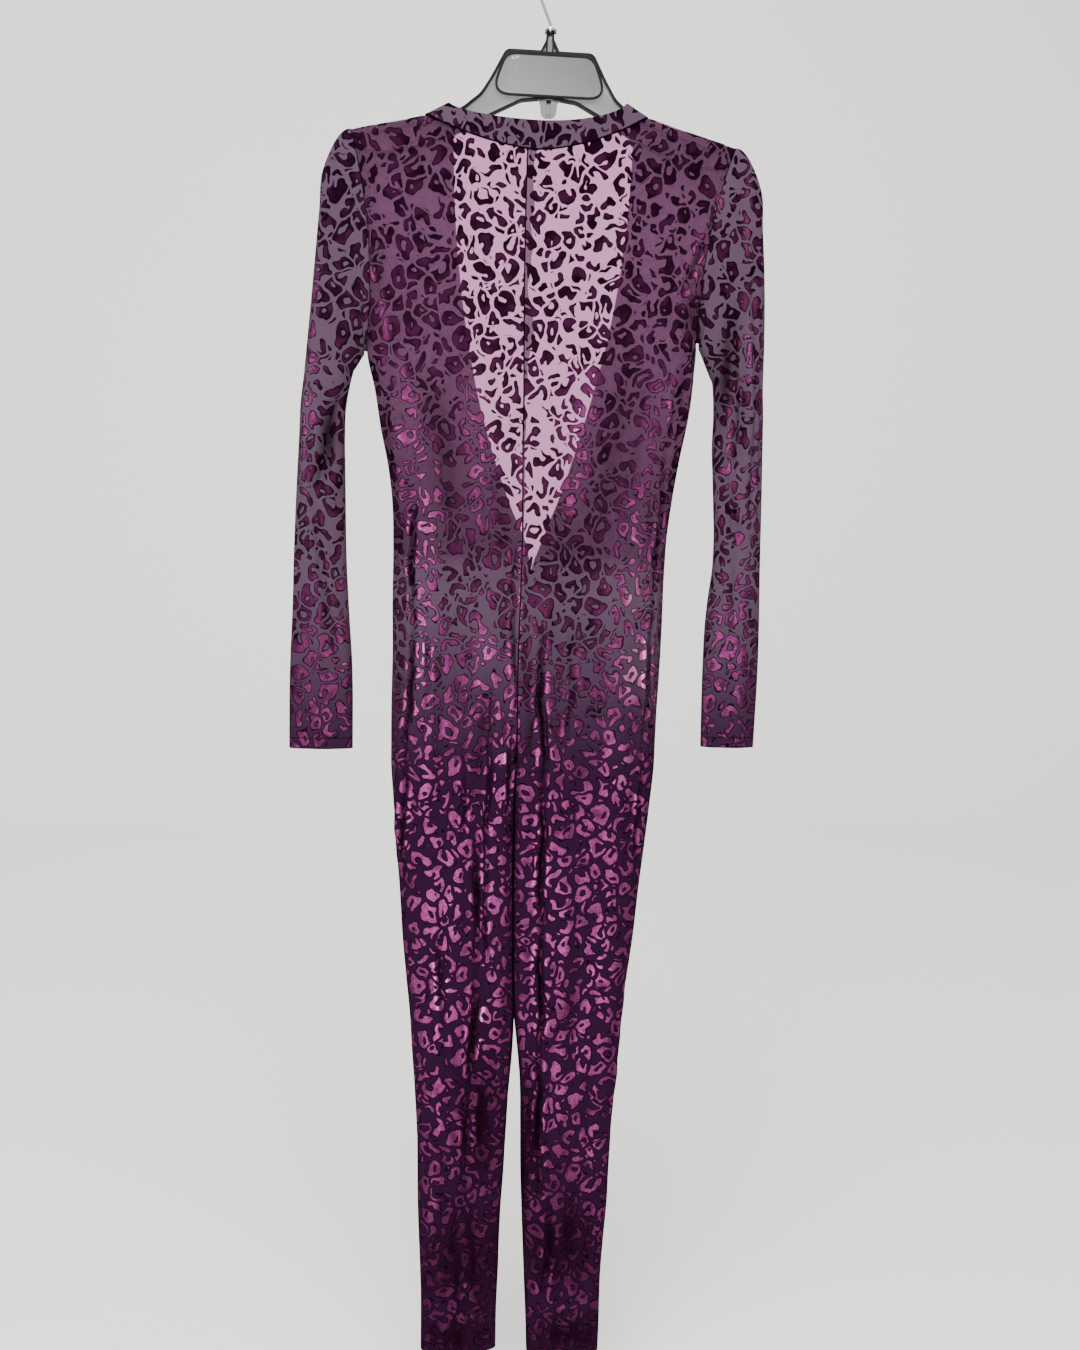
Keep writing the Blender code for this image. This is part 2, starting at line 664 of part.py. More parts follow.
def make_hanger(collection):
    clear = material("clear_styrene", (0.75, 0.76, 0.78), 0.12)
    grey = material("grey_plate", (0.33, 0.34, 0.34), 0.2)
    steel = material("plated_steel", (0.6, 0.6, 0.6), 0.25, 1.0)
    body = hanger_body()
    face = -HANGER_DEPTH / 2 - SEAM_GAP
    plate = prism("hanger_plate", PLATE_OUTLINE, face - PLATE_THICK, face)
    lug = wire("hanger_lug", LUG_PATH, LUG_WIRE)
    hook = wire("hanger_hook", hook_path(), HOOK_WIRE)
    bpy.ops.mesh.primitive_cylinder_add(
        vertices=FERRULE_SIDES,
        radius=FERRULE_RADIUS * MM,
        depth=(FERRULE_TOP - STEM[0][1] - SEAM_GAP) * MM,
        location=(0, 0, (FERRULE_TOP + STEM[0][1] + SEAM_GAP) / 2 * MM),
    )
    ferrule = bpy.context.object
    ferrule.name = "hanger_ferrule"
    ferrule.users_collection[0].objects.unlink(ferrule)
    for obj, finish in ((body, clear), (plate, grey), (lug, clear), (ferrule, steel), (hook, steel)):
        obj.data.materials.append(finish)
        collection.objects.link(obj)


for old in list(bpy.data.objects):
    bpy.data.objects.remove(old, do_unlink=True)
parts = bpy.data.collections.new("catsuit_on_hanger")
bpy.context.scene.collection.children.link(parts)
make_garment(parts)
make_hanger(parts)
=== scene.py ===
from collections import namedtuple
from math import acos, cos, degrees, pi, radians, sin, sqrt

import bmesh
import bpy
import numpy as np
from mathutils import Matrix, Vector


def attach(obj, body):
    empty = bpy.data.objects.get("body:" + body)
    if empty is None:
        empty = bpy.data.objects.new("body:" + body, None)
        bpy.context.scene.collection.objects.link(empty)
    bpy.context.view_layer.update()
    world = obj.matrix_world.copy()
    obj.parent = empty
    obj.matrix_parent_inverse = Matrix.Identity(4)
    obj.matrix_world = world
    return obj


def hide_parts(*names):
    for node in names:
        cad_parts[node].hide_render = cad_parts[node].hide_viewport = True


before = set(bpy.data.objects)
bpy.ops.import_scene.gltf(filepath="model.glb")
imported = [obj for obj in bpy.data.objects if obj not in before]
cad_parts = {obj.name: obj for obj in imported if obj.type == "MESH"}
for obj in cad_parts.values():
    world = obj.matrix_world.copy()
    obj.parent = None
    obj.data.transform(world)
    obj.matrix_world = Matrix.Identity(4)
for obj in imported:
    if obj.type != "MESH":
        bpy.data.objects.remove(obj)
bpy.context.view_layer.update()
MM = 0.001

# Back and front panels of the unitard: burnout velvet, a sheer stretch mesh whose silky pile
# is left only in the leopard spots. Each side is one piece from shoulder to ankle, joined by
# overlocked seams at the centre, the sides and the inside leg, and hung flat by its shoulders.
SEAM_GAP = 0.3
EDGE_STRIP = 3.0
BodyRow = namedtuple("BodyRow", "height left right depth back_seam front_seam")
BODY = (
    BodyRow(-150, -212, 207, 9, -21, -3),
    BodyRow(-190, -212, 207, 12, -22, -3),
    BodyRow(-250, -204, 194, 16, -23, -3),
    BodyRow(-330, -196, 178, 21, -23, -3),
    BodyRow(-400, -194, 172, 25, -22, -4),
    BodyRow(-455, -183, 170, 26, -21, -5),
    BodyRow(-488, -178, 164, 27, -21, -5),
    BodyRow(-553, -166, 154, 28, -20, -4),
    BodyRow(-622, -163, 148, 29, -19, -3),
    BodyRow(-690, -163, 148, 30, -20, -6),
    BodyRow(-760, -162, 149, 31, -21, -11),
    BodyRow(-830, -164, 147, 31, -20, -17),
    BodyRow(-866, -163, 145, 31, -20, -20),
)
LegRow = namedtuple("LegRow", "height left_outer left_inner right_inner right_outer depth")
LEGS = (
    LegRow(-866, -163, -20.6, -19.4, 145, 31),
    LegRow(-940, -158, -20.6, -19.4, 140, 29),
    LegRow(-1012, -153, -20.0, -18.8, 133, 27),
    LegRow(-1088, -147, -18.6, -17.2, 126, 25),
    LegRow(-1164, -140, -16.6, -14.4, 119, 24),
    LegRow(-1202, -138, -17, -10, 118, 23),
    LegRow(-1280, -132, -19, -4, 112, 22),
    LegRow(-1360, -128, -22, -2, 109, 21),
    LegRow(-1440, -126, -27, 2, 107, 20),
    LegRow(-1522, -123, -28, 6, 103, 19),
    LegRow(-1607, -122, -28, 11, 103, 18),
    LegRow(-1635, -122, -28, 12, 103, 17),
)
Half = namedtuple("Half", "name side neck_x neck_z tip_x tip_z under_x under_z v_drop cuff_z hem_z")
HALVES = (
    Half("left", -1, -132, -161.5, -211, -179, -194, -408, 16.5, -853, -1623),
    Half("right", 1, 109, -152.5, 207, -178, 173, -386, 10.0, -848, -1633),
)
# The armhole loop from the shoulder ridge to the underarm: share of the drop, half depth
ARMHOLE = (
    (0.0, SEAM_GAP / 2), (0.0, 4.5), (0.012, 7.0), (0.045, 8.6), (0.11, 10.0), (0.20, 12.5),
    (0.31, 15.0), (0.44, 16.5), (0.57, 17.0), (0.70, 16.0), (0.82, 13.5), (0.91, 10.0),
    (0.97, 6.0), (1.0, SEAM_GAP / 2),
)
ARMHOLE_BOW = 11.0
NECK_STRIPS = (0.0, 3.0, 7.0)
NECK_POINT_GAP = 1.0
# Columns of a panel: share across the body, along the neck seam, and along the shoulder
COLUMNS = (
    (0.0, 0.0, None), (0.02, 0.03, None), (0.15, 0.20, None), (0.29, 0.42, None),
    (0.42, 0.64, None), (0.54, 0.84, None), (0.65, 0.96, None), (0.75, None, 0.0),
    (0.84, None, 0.30), (0.92, None, 0.60), (0.955, None, 0.84), (1.0, None, 1.0),
    (1.0, None, 1.0),
)
LAST = len(COLUMNS) - 1
YOKE_STRIP = 2.4
YOKE_TURN_START = 0.7
YOKE_TURN_LENGTH = 0.27
NECK_BLEND = 0.12
SHOULDER_BLEND = 0.15
ARMHOLE_PULL = 6
BODY_ROUND = 2.6
LIMB_ROUND = 0.8
NECK_ROUND = 4
NECK_SPREAD = {"back": 1.0, "front": 0.9}
NECK_MIDDLE_X = -11.5
NECK_MIDDLE_Z = -191.5
NECK_DEPTH = 12.0
NECK_DIP = 1.7
RIDGE_DEPTH = 6.3
V_TIP_Z = -629.0
V_HEIGHT = 447.0
V_HALF_WIDTH = 98.0
V_CURVE = 0.85
HIP_Z = -650.0
CROTCH_Z = -866.0
CROTCH_CURVE = 45.0
CROTCH_STEPS = (0.4, 0.7, 0.9)
CROTCH_REACH = 0.35
TORSO_ROWS = 10
LEG_STEPS = 15


def between(rows, height):
    """The row at a height, on a smooth curve through the rows of a table."""
    if height >= rows[0].height:
        return rows[0]
    if height <= rows[-1].height:
        return rows[-1]
    low = next(i for i, row in enumerate(rows) if row.height <= height)
    above, below = rows[low - 1], rows[low]
    before, after = rows[max(low - 2, 0)], rows[min(low + 1, len(rows) - 1)]
    span = above.height - below.height
    t = (above.height - height) / span
    values = []
    for a, b, c, d in zip(before, above, below, after):
        rate_b = (c - a) / (before.height - below.height) * span
        rate_c = (d - b) / (above.height - after.height) * span
        values.append(
            b * (2 * t**3 - 3 * t**2 + 1)
            + rate_b * (t**3 - 2 * t**2 + t)
            + c * (3 * t**2 - 2 * t**3)
            + rate_c * (t**3 - t**2)
        )
    return type(above)(*values)


def mix(a, b, share):
    return a + (b - a) * share


def ease(share):
    share = np.clip(share, 0.0, 1.0)
    return share * share * (3 - 2 * share)


def centre_edge(half, face, z):
    """Where a panel's inner edge lies: the centre back seam, the V or the centre front seam."""
    row = between(BODY, z)
    if face == "back":
        return row.back_seam + half.side * SEAM_GAP / 2
    share = min(max((z - V_TIP_Z) / V_HEIGHT, 0.0), 1.0)
    v_half_width = V_HALF_WIDTH * sin(pi / 2 * share**V_CURVE)
    return row.front_seam + half.side * max(v_half_width, SEAM_GAP / 2)


def neck_seam(half, face, x):
    """Half depth and height of the collar seam at a place across the neck."""
    across = min(max((x - NECK_MIDDLE_X) / (half.neck_x - NECK_MIDDLE_X), 0.0), 1.0)
    depth = RIDGE_DEPTH + (NECK_DEPTH - RIDGE_DEPTH) * sqrt(1 - across**NECK_ROUND)
    if face == "back":
        return depth, mix(NECK_MIDDLE_Z, half.neck_z, across**NECK_DIP)
    v_top = BODY[0].front_seam + half.side * V_HALF_WIDTH
    start = (v_top - NECK_MIDDLE_X) / (half.neck_x - NECK_MIDDLE_X)
    return depth, half.neck_z - half.v_drop * min((1 - across) / (1 - start), 1.0)


def top_line(half, face):
    """The panel's top edge, column by column: place across, half depth and height."""
    points = []
    start = centre_edge(half, face, half.neck_z if face == "front" else NECK_MIDDLE_Z)
    for _, neck, shoulder in COLUMNS:
        if neck is not None:
            x = mix(start, half.neck_x, neck * NECK_SPREAD[face])
            points.append((x, *neck_seam(half, face, x)))
        else:
            x = mix(half.neck_x, half.tip_x, shoulder)
            points.append((x, SEAM_GAP / 2, mix(half.neck_z, half.tip_z, shoulder)))
    return points


def body_curve(half, face, z):
    """One torso section below the underarm, from the centre seam to the side seam."""
    row = between(BODY, z)
    side_x = row.left if half.side < 0 else row.right
    axis = (row.left + row.right) / 2
    inner = centre_edge(half, face, z)
    points = []
    for index, (body, _, _) in enumerate(COLUMNS):
        x = mix(inner, side_x, body)
        across = min(abs(x - axis) / abs(side_x - axis), 1.0)
        depth = EDGE_STRIP + (row.depth - EDGE_STRIP) * sqrt(1 - across**BODY_ROUND)
        points.append((x, SEAM_GAP / 2 if index == LAST else depth, z))
    points[0] = (points[0][0], points[1][1], z)
    return points


def leg_curve(half, face, z):
    """One half of a leg's section, from the inseam round to the side seam."""
    row = between(LEGS, z)
    outer, inner = row.left_outer, row.left_inner
    if half.side > 0:
        outer, inner = row.right_outer, row.right_inner
    points = []
    for index in range(LAST + 1):
        angle = pi * min(max(index - 1, 0), LAST - 2) / (LAST - 2)
        x = mix(inner, outer, (1 - cos(angle)) / 2)
        depth = EDGE_STRIP + (row.depth - EDGE_STRIP) * max(sin(angle), 0.0) ** LIMB_ROUND
        points.append((x, SEAM_GAP / 2 if index in (0, LAST) else depth, z))
    return points


def yoke_curve(half, face, level, top, chest):
    """One section between the top edge and the underarm, out to the armhole seam."""
    share, seam_depth = ARMHOLE[level]
    top_start, top_end = top[0][0], top[-1][0]
    points = []
    for index, (body, neck, shoulder) in enumerate(COLUMNS):
        top_x, top_depth, top_z = top[index]
        z = mix(top_z, half.under_z, share)
        if neck is not None and level < len(NECK_STRIPS):
            z = top_z - NECK_STRIPS[level]
        inner = top_start if level == 0 else centre_edge(half, face, z)
        bow = ARMHOLE_BOW * 4 * share * (1 - share)
        outer = mix(half.tip_x, half.under_x, share) - half.side * bow
        top_share = (top_x - top_start) / (top_end - top_start)
        x = mix(inner, outer, mix(top_share, body, share))
        body_depth = between(BODY, z).depth
        depth = body_depth * mix(1.0, chest[index][1] / body_depth, share**2)
        if neck is not None:
            depth = mix(top_depth, depth, ease(share / NECK_BLEND))
        elif level < 2:
            depth = seam_depth
        else:
            depth = mix(seam_depth, depth, ease(share / SHOULDER_BLEND))
        if shoulder == 0.0 and level == 0:
            depth = NECK_POINT_GAP
        depth = mix(depth, seam_depth, body**ARMHOLE_PULL)
        if index == LAST - 1:
            turn = radians(90 * ease((share - YOKE_TURN_START) / YOKE_TURN_LENGTH))
            x = outer - half.side * YOKE_STRIP * cos(turn)
            depth = seam_depth + YOKE_STRIP * sin(turn)
        points.append((x, depth, z))
    return points


def torso_section(half, face, z):
    """A torso section that turns into the top of a leg as it nears the crotch."""
    crotch_share = min(max(1 - (z - CROTCH_Z) / CROTCH_CURVE, 0.0), 1.0)
    edge_weight = 1 - sqrt(1 - crotch_share**2)
    side_weight = ease((HIP_Z - z) / (HIP_Z - CROTCH_Z))
    section = []
    for column, torso, leg in zip(COLUMNS, body_curve(half, face, z), leg_curve(half, face, CROTCH_Z)):
        weight = mix(edge_weight, side_weight, ease(column[0] / CROTCH_REACH))
        section.append((mix(torso[0], leg[0], weight), mix(torso[1], leg[1], weight), z))
    return section


def panel_sections(half, face):
    """All sections of a panel from its top edge to its ankle hem, before its folds."""
    top = top_line(half, face)
    chest = body_curve(half, face, half.under_z)
    sections = [yoke_curve(half, face, level, top, chest) for level in range(len(ARMHOLE) - 1)]
    crotch_start = CROTCH_Z + CROTCH_CURVE
    heights = [mix(half.under_z, crotch_start, step / TORSO_ROWS) for step in range(TORSO_ROWS + 1)]
    heights += [CROTCH_Z + CROTCH_CURVE * (1 - step) for step in CROTCH_STEPS]
    sections += [torso_section(half, face, z) for z in heights]
    heights = [mix(CROTCH_Z, half.hem_z, step / LEG_STEPS) for step in range(LEG_STEPS + 1)]
    sections += [leg_curve(half, face, z) for z in heights]
    turn = -1 if face == "back" else 1
    return np.array([[(x, turn * y, z) for x, y, z in section] for section in sections])


def knots_along(grid, axis):
    """Mean running length of a grid of points along one axis."""
    steps = np.linalg.norm(np.diff(grid, axis=axis), axis=2).mean(axis=1 - axis)
    return np.concatenate(([0.0], np.cumsum(np.maximum(steps, 0.2))))


def resample(grid, axis, at, knots):
    """A grid of points read at new places along one axis, on smooth curves through it."""
    grid = np.moveaxis(grid, axis, 0)
    spans = np.diff(knots)
    slopes = np.diff(grid, axis=0) / spans[:, None, None]
    rates = np.empty_like(grid)
    rates[0], rates[-1] = slopes[0], slopes[-1]
    before, after = spans[:-1, None, None], spans[1:, None, None]
    rates[1:-1] = (slopes[:-1] * after + slopes[1:] * before) / (before + after)
    low = np.clip(np.searchsorted(knots, at, side="right") - 1, 0, len(spans) - 1)
    span = spans[low][:, None, None]
    t = ((at - knots[low]) / spans[low])[:, None, None]
    made = (
        grid[low] * (2 * t**3 - 3 * t**2 + 1)
        + rates[low] * span * (t**3 - 2 * t**2 + t)
        + grid[low + 1] * (3 * t**2 - 2 * t**3)
        + rates[low + 1] * span * (t**3 - t**2)
    )
    return np.moveaxis(made, 0, axis)


def evenly(grid, axis, count):
    """A grid of points read at evenly spaced places along one axis, its two ends included."""
    knots = knots_along(grid, axis)
    return resample(grid, axis, np.linspace(knots[0], knots[-1], count), knots)


def outward(grid, closed=False):
    """Unit normals of a grid of points, pointing away from the garment's mid plane."""
    if closed:
        across = np.roll(grid, -1, axis=1) - np.roll(grid, 1, axis=1)
    else:
        across = np.gradient(grid, axis=1)
    down = np.gradient(grid, axis=0)
    normals = np.cross(across, down)
    length = np.linalg.norm(normals, axis=2, keepdims=True)
    return normals / np.maximum(length, 1e-9)


# Folds of the body: the face they are on, their path from top to bottom as (across, height),
# half width and depth of the trough in millimetres, inward when negative
Fold = namedtuple("Fold", "face path width depth")
BROAD_FOLDS = (
    Fold("back", ((14, -680), (11, -950), (9, -1230)), 18, -9),
    Fold("back", ((-48, -760), (-66, -1300)), 18, -8),
    Fold("back", ((-20, -560), (-20, -850)), 15, -5),
    Fold("back", ((-128, -540), (-120, -960)), 20, 5),
    Fold("back", ((92, -580), (84, -1030)), 22, 6),
    Fold("back", ((58, -680), (62, -1290)), 18, -7),
    Fold("back", ((-104, -680), (-96, -1220)), 17, -7),
    Fold("back", ((84, -1180), (70, -1500)), 18, -6),
    Fold("back", ((-60, -1330), (-84, -1590)), 18, -6),
    Fold("front", ((40, -640), (34, -1190)), 20, -9),
    Fold("front", ((-62, -630), (-70, -1270)), 20, -8),
    Fold("front", ((100, -700), (90, -1080)), 20, 6),
    Fold("front", ((-118, -600), (-108, -1010)), 20, -7),
    Fold("front", ((76, -1120), (62, -1540)), 18, -6),
    Fold("front", ((-96, -1240), (-70, -1580)), 18, -6),
)
FOLD_FADE = 90.0
# Narrow creases: the dark lines of the gathered hips and legs, seen from behind, and like
# ones on the front. Their troughs are also painted with shade, and their lips with highlights.
CREASES = (
    Fold(
        "back",
        ((-140, -560), (-141, -675), (-138, -735), (-146, -836), (-149, -905), (-150, -1010)), 2.6, -7,
    ),
    Fold("back", ((151, -430), (141, -521), (135, -658), (132, -748), (128, -871), (122, -1040)), 2.4, -5),
    Fold(
        "back",
        ((4, -690), (7, -780), (12, -870), (13, -1028), (16, -1164), (18, -1330), (20, -1440)), 2.8, -8,
    ),
    Fold("back", ((-25, -590), (-28, -673), (-23, -760), (-28, -880), (-29, -940)), 2.2, -5),
    Fold("back", ((-50, -770), (-47, -830), (-51, -920), (-52, -1010), (-50, -1120)), 2.2, -5),
    Fold("back", ((-69, -750), (-68, -822)), 2.0, -4),
    Fold("back", ((-108, -730), (-108, -800)), 2.0, -4),
    Fold("back", ((-66, -930), (-62, -1010), (-60, -1120), (-66, -1279), (-70, -1370)), 3.2, -6),
    Fold("back", ((-80, -800), (-78, -905), (-84, -980)), 2.4, -4),
    Fold("back", ((-124, -690), (-121, -800), (-122, -880)), 2.2, -3.5),
    Fold("back", ((-106, -1060), (-101, -1180), (-92, -1260)), 2.6, -4),
    Fold("back", ((40, -700), (42, -790), (37, -860)), 3.0, -3),
    Fold("back", ((124, -1120), (116, -1260), (112, -1400)), 2.6, -4),
    Fold("back", ((152, -560), (148, -700), (147, -860)), 2.2, -3.5),
    Fold("back", ((-60, -1545), (-78, -1575), (-92, -1612)), 3.0, -5),
    Fold("back", ((-78, -1500), (-70, -1560), (-60, -1600)), 2.6, -4),
    Fold("back", ((36, -1400), (33, -1490), (30, -1580)), 3.0, -4),
    Fold("front", ((-12, -700), (-14, -860), (-20, -900)), 3.0, -6),
    Fold("front", ((-150, -600), (-146, -760), (-144, -930)), 3.0, -6),
    Fold("front", ((132, -580), (128, -720), (124, -900), (120, -1010)), 3.0, -6),
    Fold("front", ((30, -690), (26, -860), (28, -1080), (34, -1260)), 3.4, -8),
    Fold("front", ((-58, -720), (-66, -960), (-62, -1180), (-70, -1330)), 3.2, -7),
    Fold("front", ((-94, -860), (-92, -1040)), 2.4, -4),
    Fold("front", ((70, -900), (66, -1090), (70, -1240)), 2.8, -5),
    Fold("front", ((44, -1480), (56, -1545), (74, -1590)), 3.0, -5),
)
CREASE_FADE = 45.0
# Short pulls of the cloth toward the armholes, and soft waves from there down to the waist
PULLS = (
    Fold("back", ((196, -228), (173, -285), (149, -342)), 2.8, -7),
    Fold("back", ((186, -290), (171, -330), (156, -366)), 2.6, -6),
    Fold("back", ((181, -352), (170, -372), (160, -398)), 2.4, -6),
    Fold("back", ((-198, -300), (-190, -350), (-189, -420)), 2.6, -6),
    Fold("back", ((190, -250), (166, -308), (150, -350)), 4.0, 3.0),
    Fold("back", ((-188, -330), (-183, -380), (-184, -450)), 4.0, -4),
    Fold("back", ((160, -388), (158, -440), (156, -500)), 5.0, -4),
    Fold("back", ((-176, -440), (-168, -520), (-165, -600)), 5.0, -3),
    Fold("back", ((-120, -420), (-104, -520), (-96, -610)), 14.0, -3),
    Fold("back", ((96, -400), (84, -500), (70, -600)), 16.0, -3),
    Fold("front", ((188, -240), (166, -300), (152, -352)), 4.0, -4),
    Fold("front", ((-190, -250), (-178, -320), (-182, -390)), 4.0, -4),
    Fold("front", ((120, -400), (110, -520), (100, -620)), 14.0, -3),
    Fold("front", ((-130, -420), (-118, -520), (-108, -620)), 14.0, -3),
)
PULL_FADE = 40.0
# A crease narrower than this wanders across in a long and a short wave, and deepens and fades
# along its length: reach in millimetres or share, run, and what turns its size into a start
NARROW = 5.0
LONG_WANDER, LONG_RUN, LONG_START = 1.3, 17.0, 3.0
SHORT_WANDER, SHORT_RUN, SHORT_START = 0.8, 7.3, 9.0
FADING, FADING_RUN, FADING_START = 0.32, 26.0, 5.0
FOLD_LIP = 0.28


def fold_shape(gap, lip):
    """A fold's section at a distance in half widths: a round trough between two low lips."""
    return np.exp(-(gap**2) * 1.2) - lip * np.exp(-((gap - 2.4) ** 2) / 0.9)


def fold_field(x, z, folds, fade_length):
    """How far a list of folds pushes the cloth outward at each place of a grid."""
    total = np.zeros_like(x)
    for fold in folds:
        path = np.array(fold.path, float)
        heights, places = path[::-1, 1], path[::-1, 0]
        across = np.interp(z, heights, places)
        strength = 1.0
        if fold.width < NARROW:
            across = across + LONG_WANDER * np.sin(z / LONG_RUN + fold.depth * LONG_START)
            across = across + SHORT_WANDER * np.sin(z / SHORT_RUN + fold.width * SHORT_START)
            strength = 1 - FADING + FADING * np.sin(z / FADING_RUN + fold.width * FADING_START)
        slope = (places[-1] - places[0]) / (heights[-1] - heights[0])
        gap = np.abs(x - across) / sqrt(1 + slope * slope) / fold.width
        fade = ease(np.minimum(heights[-1] - z, z - heights[0]) / fade_length)
        total += fold.depth * strength * fade * fold_shape(gap, FOLD_LIP)
    return total


# Waves of the hanging cloth's ripple: how many, and their least and greatest length across and
# down in millimetres
RIPPLE_WAVES = 14
RIPPLE_WIDE = (22, 70)
RIPPLE_LONG = (110, 380)
RIPPLE_BEND = 12


def ripple(x, z, seed):
    """Small uneven undulation of hanging cloth, longer down than across, from -1 to 1."""
    draw = np.random.default_rng(seed)
    total = np.zeros_like(x)
    for _ in range(RIPPLE_WAVES):
        wide, long = draw.uniform(*RIPPLE_WIDE), draw.uniform(*RIPPLE_LONG)
        phase, lean = draw.uniform(0, 2 * pi, 2)
        bent = x + RIPPLE_BEND * np.sin(z / long + lean)
        total += np.sin(2 * pi * bent / wide + phase) * np.sin(z / long * 3 + lean)
    return total / RIPPLE_WAVES


PANEL_COLUMNS = 91
PANEL_ROWS = 401
# The cloth stays smooth by its centre and side seams, as a share of its width, and by its top
CENTRE_CALM, SIDE_CALM = 0.06, 0.05
TOP_CALM = 60.0
BROAD_GAIN = 0.9
# It ripples more where the hips and legs are gathered: from this height, over this drop
GATHER_TOP, GATHER_DROP = -560, 200
RIPPLE_DEPTH, GATHERED_DEPTH = 1.4, 4.0
RIPPLE_SEED = {"back": 11, "front": 29}


def panel_grid(half, face):
    """The fine grid of a panel in millimetres, with its folds."""
    grid = evenly(evenly(panel_sections(half, face), 1, PANEL_COLUMNS), 0, PANEL_ROWS)
    x, z = grid[..., 0], grid[..., 2]
    run = np.linspace(0, 1, PANEL_COLUMNS)[None, :]
    away = ease(run / CENTRE_CALM) * ease((1 - run) / SIDE_CALM)
    below_top = ease((grid[:1, :, 2] - z) / TOP_CALM)
    gathered = ease((GATHER_TOP - z) / GATHER_DROP)
    push = ripple(x, z, RIPPLE_SEED[face]) * mix(RIPPLE_DEPTH, GATHERED_DEPTH, gathered)
    for rows, fade, gain in (
        (BROAD_FOLDS, FOLD_FADE, BROAD_GAIN), (CREASES, CREASE_FADE, 1.0), (PULLS, PULL_FADE, 1.0),
    ):
        push += fold_field(x, z, [fold for fold in rows if fold.face == face], fade) * gain
    normals = outward(grid)
    facing = np.sign(normals[..., 1].mean()) * (-1 if face == "back" else 1)
    grid = grid + normals * (facing * push * away * below_top)[..., None]
    return grid


def cloth_piece(
    name, grid, closed, outer_sign, thickness, finishes, marks, anchor, anchor_places, print_scale=1.0
):
    """A thin shell through a grid of points, with a finish for its right and its wrong side, its
    marks, and its UV map in metres: level run from the anchor column, and height."""
    rows, columns = grid.shape[:2]
    points = grid.reshape(-1, 3) * MM
    looped = np.concatenate((grid, grid[:, :1]), axis=1) if closed else grid
    steps = np.hypot(np.diff(looped[..., 0], axis=1), np.diff(looped[..., 1], axis=1)) * MM
    run = np.concatenate((np.zeros((rows, 1)), np.cumsum(steps, axis=1)), axis=1)
    run = (run + (anchor_places - run[:, anchor])[:, None]) / print_scale
    drop = looped[..., 2] * MM / print_scale
    faces, corners = [], []
    spans = columns if closed else columns - 1
    for row in range(rows - 1):
        for column in range(spans):
            after = (column + 1) % columns
            face = (
                (row * columns + column, run[row, column], drop[row, column]),
                ((row + 1) * columns + column, run[row + 1, column], drop[row + 1, column]),
                ((row + 1) * columns + after, run[row + 1, column + 1], drop[row + 1, column + 1]),
                (row * columns + after, run[row, column + 1], drop[row, column + 1]),
            )
            if outer_sign < 0:
                face = face[::-1]
            faces.append([corner[0] for corner in face])
            corners.extend(corner[1:] for corner in face)
    mesh = bpy.data.meshes.new(name)
    mesh.from_pydata(points.tolist(), [], faces)
    layer = mesh.uv_layers.new(name="cloth")
    layer.data.foreach_set("uv", np.array(corners, np.float32).ravel())
    for mark, values in marks.items():
        attribute = mesh.attributes.new(mark, "FLOAT", "POINT")
        attribute.data.foreach_set("value", values.astype(np.float32).ravel())
    mesh.shade_smooth()
    piece = bpy.data.objects.new(name, mesh)
    bpy.context.scene.collection.objects.link(piece)
    for finish in finishes:
        mesh.materials.append(finish)
    wall = piece.modifiers.new("cloth thickness", "SOLIDIFY")
    wall.thickness = thickness * MM
    wall.offset = -1.0
    wall.material_offset = 1
    bpy.ops.object.select_all(action="DESELECT")
    bpy.context.view_layer.objects.active = piece
    piece.select_set(True)
    bpy.ops.object.modifier_apply(modifier=wall.name)
    return piece


def linear(hex_colour):
    """An sRGB hex colour as linear RGBA."""
    values = [int(hex_colour[i : i + 2], 16) / 255 for i in (1, 3, 5)]
    return (*[v / 12.92 if v <= 0.04045 else ((v + 0.055) / 1.055) ** 2.4 for v in values], 1.0)


# What the mode of each type of node sets
MODES = {
    "Math": "operation", "VectorMath": "operation", "MapRange": "interpolation_type", "Mix": "data_type",
    "TexNoise": "noise_dimensions", "TexVoronoi": "feature", "VectorRotate": "rotation_type",
}


def node(tree, kind, *values, **details):
    """Add a node and give its first output. Its kind is its type, and its mode after a dot.
    Values are linked to its open inputs in their order or set there, and details by name, with
    _ for a space. Details in small letters are settings of the node itself."""
    kind, _, mode = kind.partition(".")
    made = tree.nodes.new("ShaderNode" + kind)
    if mode:
        setattr(made, MODES[kind], mode)
    inputs = list(zip([socket for socket in made.inputs if socket.enabled], values))
    for key, value in details.items():
        if key.islower():
            setattr(made, key, value)
        else:
            inputs.append((made.inputs[key.replace("_", " ")], value))
    for socket, value in inputs:
        if isinstance(value, bpy.types.NodeSocket):
            tree.links.new(value, socket)
        else:
            socket.default_value = value
    return next((socket for socket in made.outputs if socket.enabled), None)


# The print, in millimetres: how far apart the large and the small spots stand, and from least
# to most a ring's radius, half its stroke, half a bean's length and half its width
LARGE_PITCH, SMALL_PITCH = 21.0, 13.5
RING_RADIUS = (4.9, 6.6)
RING_STROKE = (2.95, 3.85)
BEAN_REACH = (0.0, 3.6)
BEAN_STROKE = (3.0, 4.2)
# The kinds of node that the velvet uses most
RAMP, BLEND, CHOOSE = "MapRange.SMOOTHSTEP", "Mix.RGBA", "Mix.FLOAT"
# Share of the large spots that are whole rings, and of the small places left empty
WHOLE_RINGS, LEFT_EMPTY = 0.36, 0.2
OUT_OF_REACH = 9.0
# The lattice that scatters the spots stands askew, in radians, so no rows show on the body
ASKEW = 0.6


